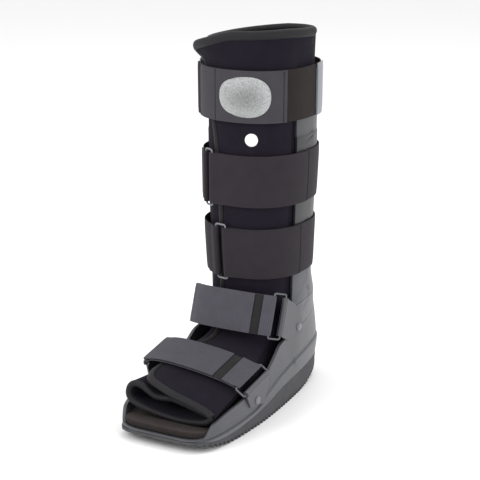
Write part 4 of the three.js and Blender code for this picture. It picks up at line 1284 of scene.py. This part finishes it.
class BootStage(bpy.types.PropertyGroup):
    """Camera and light of the photograph."""

    azimuth: bpy.props.FloatProperty(
        name="Azimuth",
        description="Camera's turn from the toe towards the outer side",
        unit="ROTATION",
        default=math.radians(30.5),
    )
    elevation: bpy.props.FloatProperty(
        name="Elevation",
        description="Camera's angle above the horizon",
        unit="ROTATION",
        default=math.radians(15.5),
    )
    distance: bpy.props.FloatProperty(
        name="Distance",
        description="From the camera to its target",
        unit="LENGTH",
        default=1.895,
    )
    light: bpy.props.FloatProperty(
        name="Light",
        description="Power of the key light in watts",
        unit="POWER",
        default=24,
    )


def looks():
    """All materials by name, made once."""
    made = {m.name: m for m in bpy.data.materials if m.name.startswith("boot_")}
    if made:
        return made
    colours = bpy.context.scene.boot_colours
    shell_look("boot_shell", tuple(colours.shell))
    cloth_look("boot_cloth", tuple(colours.cloth))
    binding = Look("boot_binding", tuple(colours.binding), 0.6, sheen=0.02, specular=0.25)
    binding.shade(binding.wave("along", 1.1), 0.9, 1.08)
    binding.bump(binding.wave("along", 1.1), 0.12)
    binding.shade(binding.noise(14, 3), 0.85, 1.15)
    binding.bump(binding.noise(6, 2), 0.25)
    strap_look("boot_webbing", (0.015, 0.011, 0.010), 1.7, 1.2, 0.3)
    strap_look("boot_dark_strap", tuple(colours.dark_strap), 0.0, 0.9, 0.12, 0.05)
    strap_look("boot_ribbed_strap", tuple(colours.grey_strap), 2.4, 1.1, 0.2)
    strap_look("boot_hook_band", (0.022, 0.02, 0.02), 0.9, 0.9, 0.3)
    # Dark colour of the painted shadow just past each leg strap's tail end
    strap_look("boot_seam", (0.009, 0.006, 0.005), 1.6, 1.1, 0.3)
    strap_look("boot_panel", (0.045, 0.042, 0.05), 0.0, 0.8, 0.1)
    plastic_look("boot_ring", (0.085, 0.087, 0.097), 0.24, 0.02)
    plastic_look("boot_leg_ring", (0.16, 0.163, 0.175), 0.28, 0.02)
    plastic_look("boot_rivet", (0.13, 0.132, 0.142), 0.25, 0.02)
    plastic_look("boot_tab", (0.07, 0.07, 0.078), 0.42, 0.04)
    plastic_look("boot_keeper", (0.2, 0.21, 0.24), 0.4, 0.03)
    plastic_look("boot_button", (0.82, 0.82, 0.8), 0.32, 0.01, wear=0.03)
    rubber_look("boot_rubber", (0.062, 0.062, 0.067))
    foam_look("boot_foam", (0.037, 0.030, 0.028))
    pump_look("boot_pump", tuple(colours.pump))
    return {m.name: m for m in bpy.data.materials if m.name.startswith("boot_")}


class BOOT_OT_sole(bpy.types.Operator):
    """Builds the treaded sole and the foam insole"""

    bl_idname = "boot.sole"
    bl_label = "Sole and insole"

    def execute(self, context):
        build_outsole(looks()["boot_rubber"])
        build_insole(looks()["boot_foam"])
        return {"FINISHED"}


class BOOT_OT_shell(bpy.types.Operator):
    """Builds the rigid shell with its uprights"""

    bl_idname = "boot.shell"
    bl_label = "Shell"

    def execute(self, context):
        build_shell(looks()["boot_shell"])
        return {"FINISHED"}


class BOOT_OT_liner(bpy.types.Operator):
    """Builds the padded liner, the front flap and their bindings"""

    bl_idname = "boot.liner"
    bl_label = "Liner and flap"

    def execute(self, context):
        build_liner(looks()["boot_cloth"], looks()["boot_binding"])
        build_flap(looks()["boot_cloth"])
        build_bindings(looks()["boot_binding"])
        return {"FINISHED"}


class BOOT_OT_leg_straps(bpy.types.Operator):
    """Builds the three straps round the leg and their rings"""

    bl_idname = "boot.leg_straps"
    bl_label = "Leg straps"

    def execute(self, context):
        for strap in LEG_STRAPS:
            build_leg_strap(*strap, looks())
        return {"FINISHED"}


class BOOT_OT_foot_straps(bpy.types.Operator):
    """Builds the ankle and toe straps with their rings, tabs and rivets"""

    bl_idname = "boot.foot_straps"
    bl_label = "Foot straps"

    def execute(self, context):
        for strap in FOOT_STRAPS:
            build_foot_strap(strap, looks())
        return {"FINISHED"}


class BOOT_OT_pump(bpy.types.Operator):
    """Builds the air pump, its panel, the valve button and the strap keeper"""

    bl_idname = "boot.pump"
    bl_label = "Air pump"

    def execute(self, context):
        build_pump(looks())
        return {"FINISHED"}


class BOOT_OT_stage(bpy.types.Operator):
    """Adds the pale floor, the lights and the camera"""

    bl_idname = "boot.stage"
    bl_label = "Stage"

    def execute(self, context):
        build_stage(context.scene.boot_stage)
        return {"FINISHED"}


# Half side of the floor, and where the camera looks: beside the leg's axis and above the floor
FLOOR_HALF = 6.0
AIM_ASIDE = 0.026
AIM_HEIGHT = 0.18
LENS = 120.2
SENSOR = 36
SURROUNDINGS = 0.95


def area_light(name, place, target, size, power):
    """A rectangular light aimed at a target."""
    light = bpy.data.lights.new(name, "AREA")
    light.shape = "RECTANGLE"
    light.size, light.size_y = size
    light.energy = power
    lamp = bpy.data.objects.new(name, light)
    lamp.location = place
    lamp.rotation_mode = "QUATERNION"
    lamp.rotation_quaternion = (Vector(target) - Vector(place)).to_track_quat("-Z", "Y")
    bpy.context.scene.collection.objects.link(lamp)
    return lamp


def build_stage(settings):
    """The pale floor, the white surroundings, three lights and the camera."""
    scene = bpy.context.scene
    mesh = bpy.data.meshes.new("floor")
    corners = [(x * FLOOR_HALF, y * FLOOR_HALF, 0) for x, y in ((-1, -1), (1, -1), (1, 1), (-1, 1))]
    mesh.from_pydata(corners, [], [(0, 1, 2, 3)])
    floor = bpy.data.objects.new("floor", mesh)
    scene.collection.objects.link(floor)
    look = Look("stage_floor", (0.93, 0.93, 0.93), 0.9, specular=0.1)
    look.shade(look.noise(400, 2), 0.995, 1.005)
    mesh.materials.append(look.material)
    world = bpy.data.worlds.new("studio")
    world.use_nodes = True
    background = world.node_tree.nodes["Background"]
    background.inputs["Color"].default_value = (1, 1, 1, 1)
    background.inputs["Strength"].default_value = SURROUNDINGS
    scene.world = world
    target = (0, 0, 0.2)
    area_light("key", (-1.1, -1.7, 1.7), target, (1.4, 1.4), settings.light)
    area_light("side", (2.0, -0.6, 0.9), target, (0.9, 1.6), settings.light * 0.6)
    area_light("top", (0.2, 0.9, 2.3), target, (1.8, 1.2), settings.light * 0.8)
    scene.view_settings.view_transform = "Standard"
    camera = bpy.data.objects.new("camera", bpy.data.cameras.new("camera"))
    scene.collection.objects.link(camera)
    azimuth, elevation = settings.azimuth, settings.elevation
    aside = Vector((math.cos(azimuth), math.sin(azimuth), 0)) * AIM_ASIDE
    centre = Vector((0, SHIFT / 1000, AIM_HEIGHT)) - aside
    level = math.cos(elevation)
    back = Vector((math.sin(azimuth) * level, -math.cos(azimuth) * level, math.sin(elevation)))
    camera.location = centre + back * settings.distance
    camera.rotation_mode = "QUATERNION"
    camera.rotation_quaternion = (-back).to_track_quat("-Z", "Y")
    camera.data.sensor_width = SENSOR
    camera.data.lens = LENS
    scene.camera = camera


OPERATORS = (
    BOOT_OT_sole,
    BOOT_OT_shell,
    BOOT_OT_liner,
    BOOT_OT_leg_straps,
    BOOT_OT_foot_straps,
    BOOT_OT_pump,
    BOOT_OT_stage,
)


class BOOT_PT_panel(bpy.types.Panel):
    """Lists the boot's settings and steps"""

    bl_idname = "BOOT_PT_panel"
    bl_label = "Walking boot"
    bl_space_type = "VIEW_3D"
    bl_region_type = "UI"
    bl_category = "Boot"

    def draw(self, context):
        scene = context.scene
        for group in (scene.boot_sizes, scene.boot_colours, scene.boot_stage):
            for name in group.__annotations__:
                self.layout.prop(group, name)
        for operator in OPERATORS:
            self.layout.operator(operator.bl_idname)


CLASSES = (BootSizes, BootColours, BootStage, *OPERATORS, BOOT_PT_panel)


def register():
    """Registers the classes and puts the settings on the scene."""
    for made in CLASSES:
        bpy.utils.register_class(made)
    bpy.types.Scene.boot_sizes = bpy.props.PointerProperty(type=BootSizes)
    bpy.types.Scene.boot_colours = bpy.props.PointerProperty(type=BootColours)
    bpy.types.Scene.boot_stage = bpy.props.PointerProperty(type=BootStage)


def unregister():
    """Takes the settings off the scene and unregisters the classes."""
    del bpy.types.Scene.boot_stage
    del bpy.types.Scene.boot_colours
    del bpy.types.Scene.boot_sizes
    for made in reversed(CLASSES):
        bpy.utils.unregister_class(made)


def main():
    """Builds the boot and its stage."""
    register()
    for step in (
        bpy.ops.boot.sole,
        bpy.ops.boot.shell,
        bpy.ops.boot.liner,
        bpy.ops.boot.leg_straps,
        bpy.ops.boot.foot_straps,
        bpy.ops.boot.pump,
        bpy.ops.boot.stage,
    ):
        step()


if __name__ == "__main__":
    main()
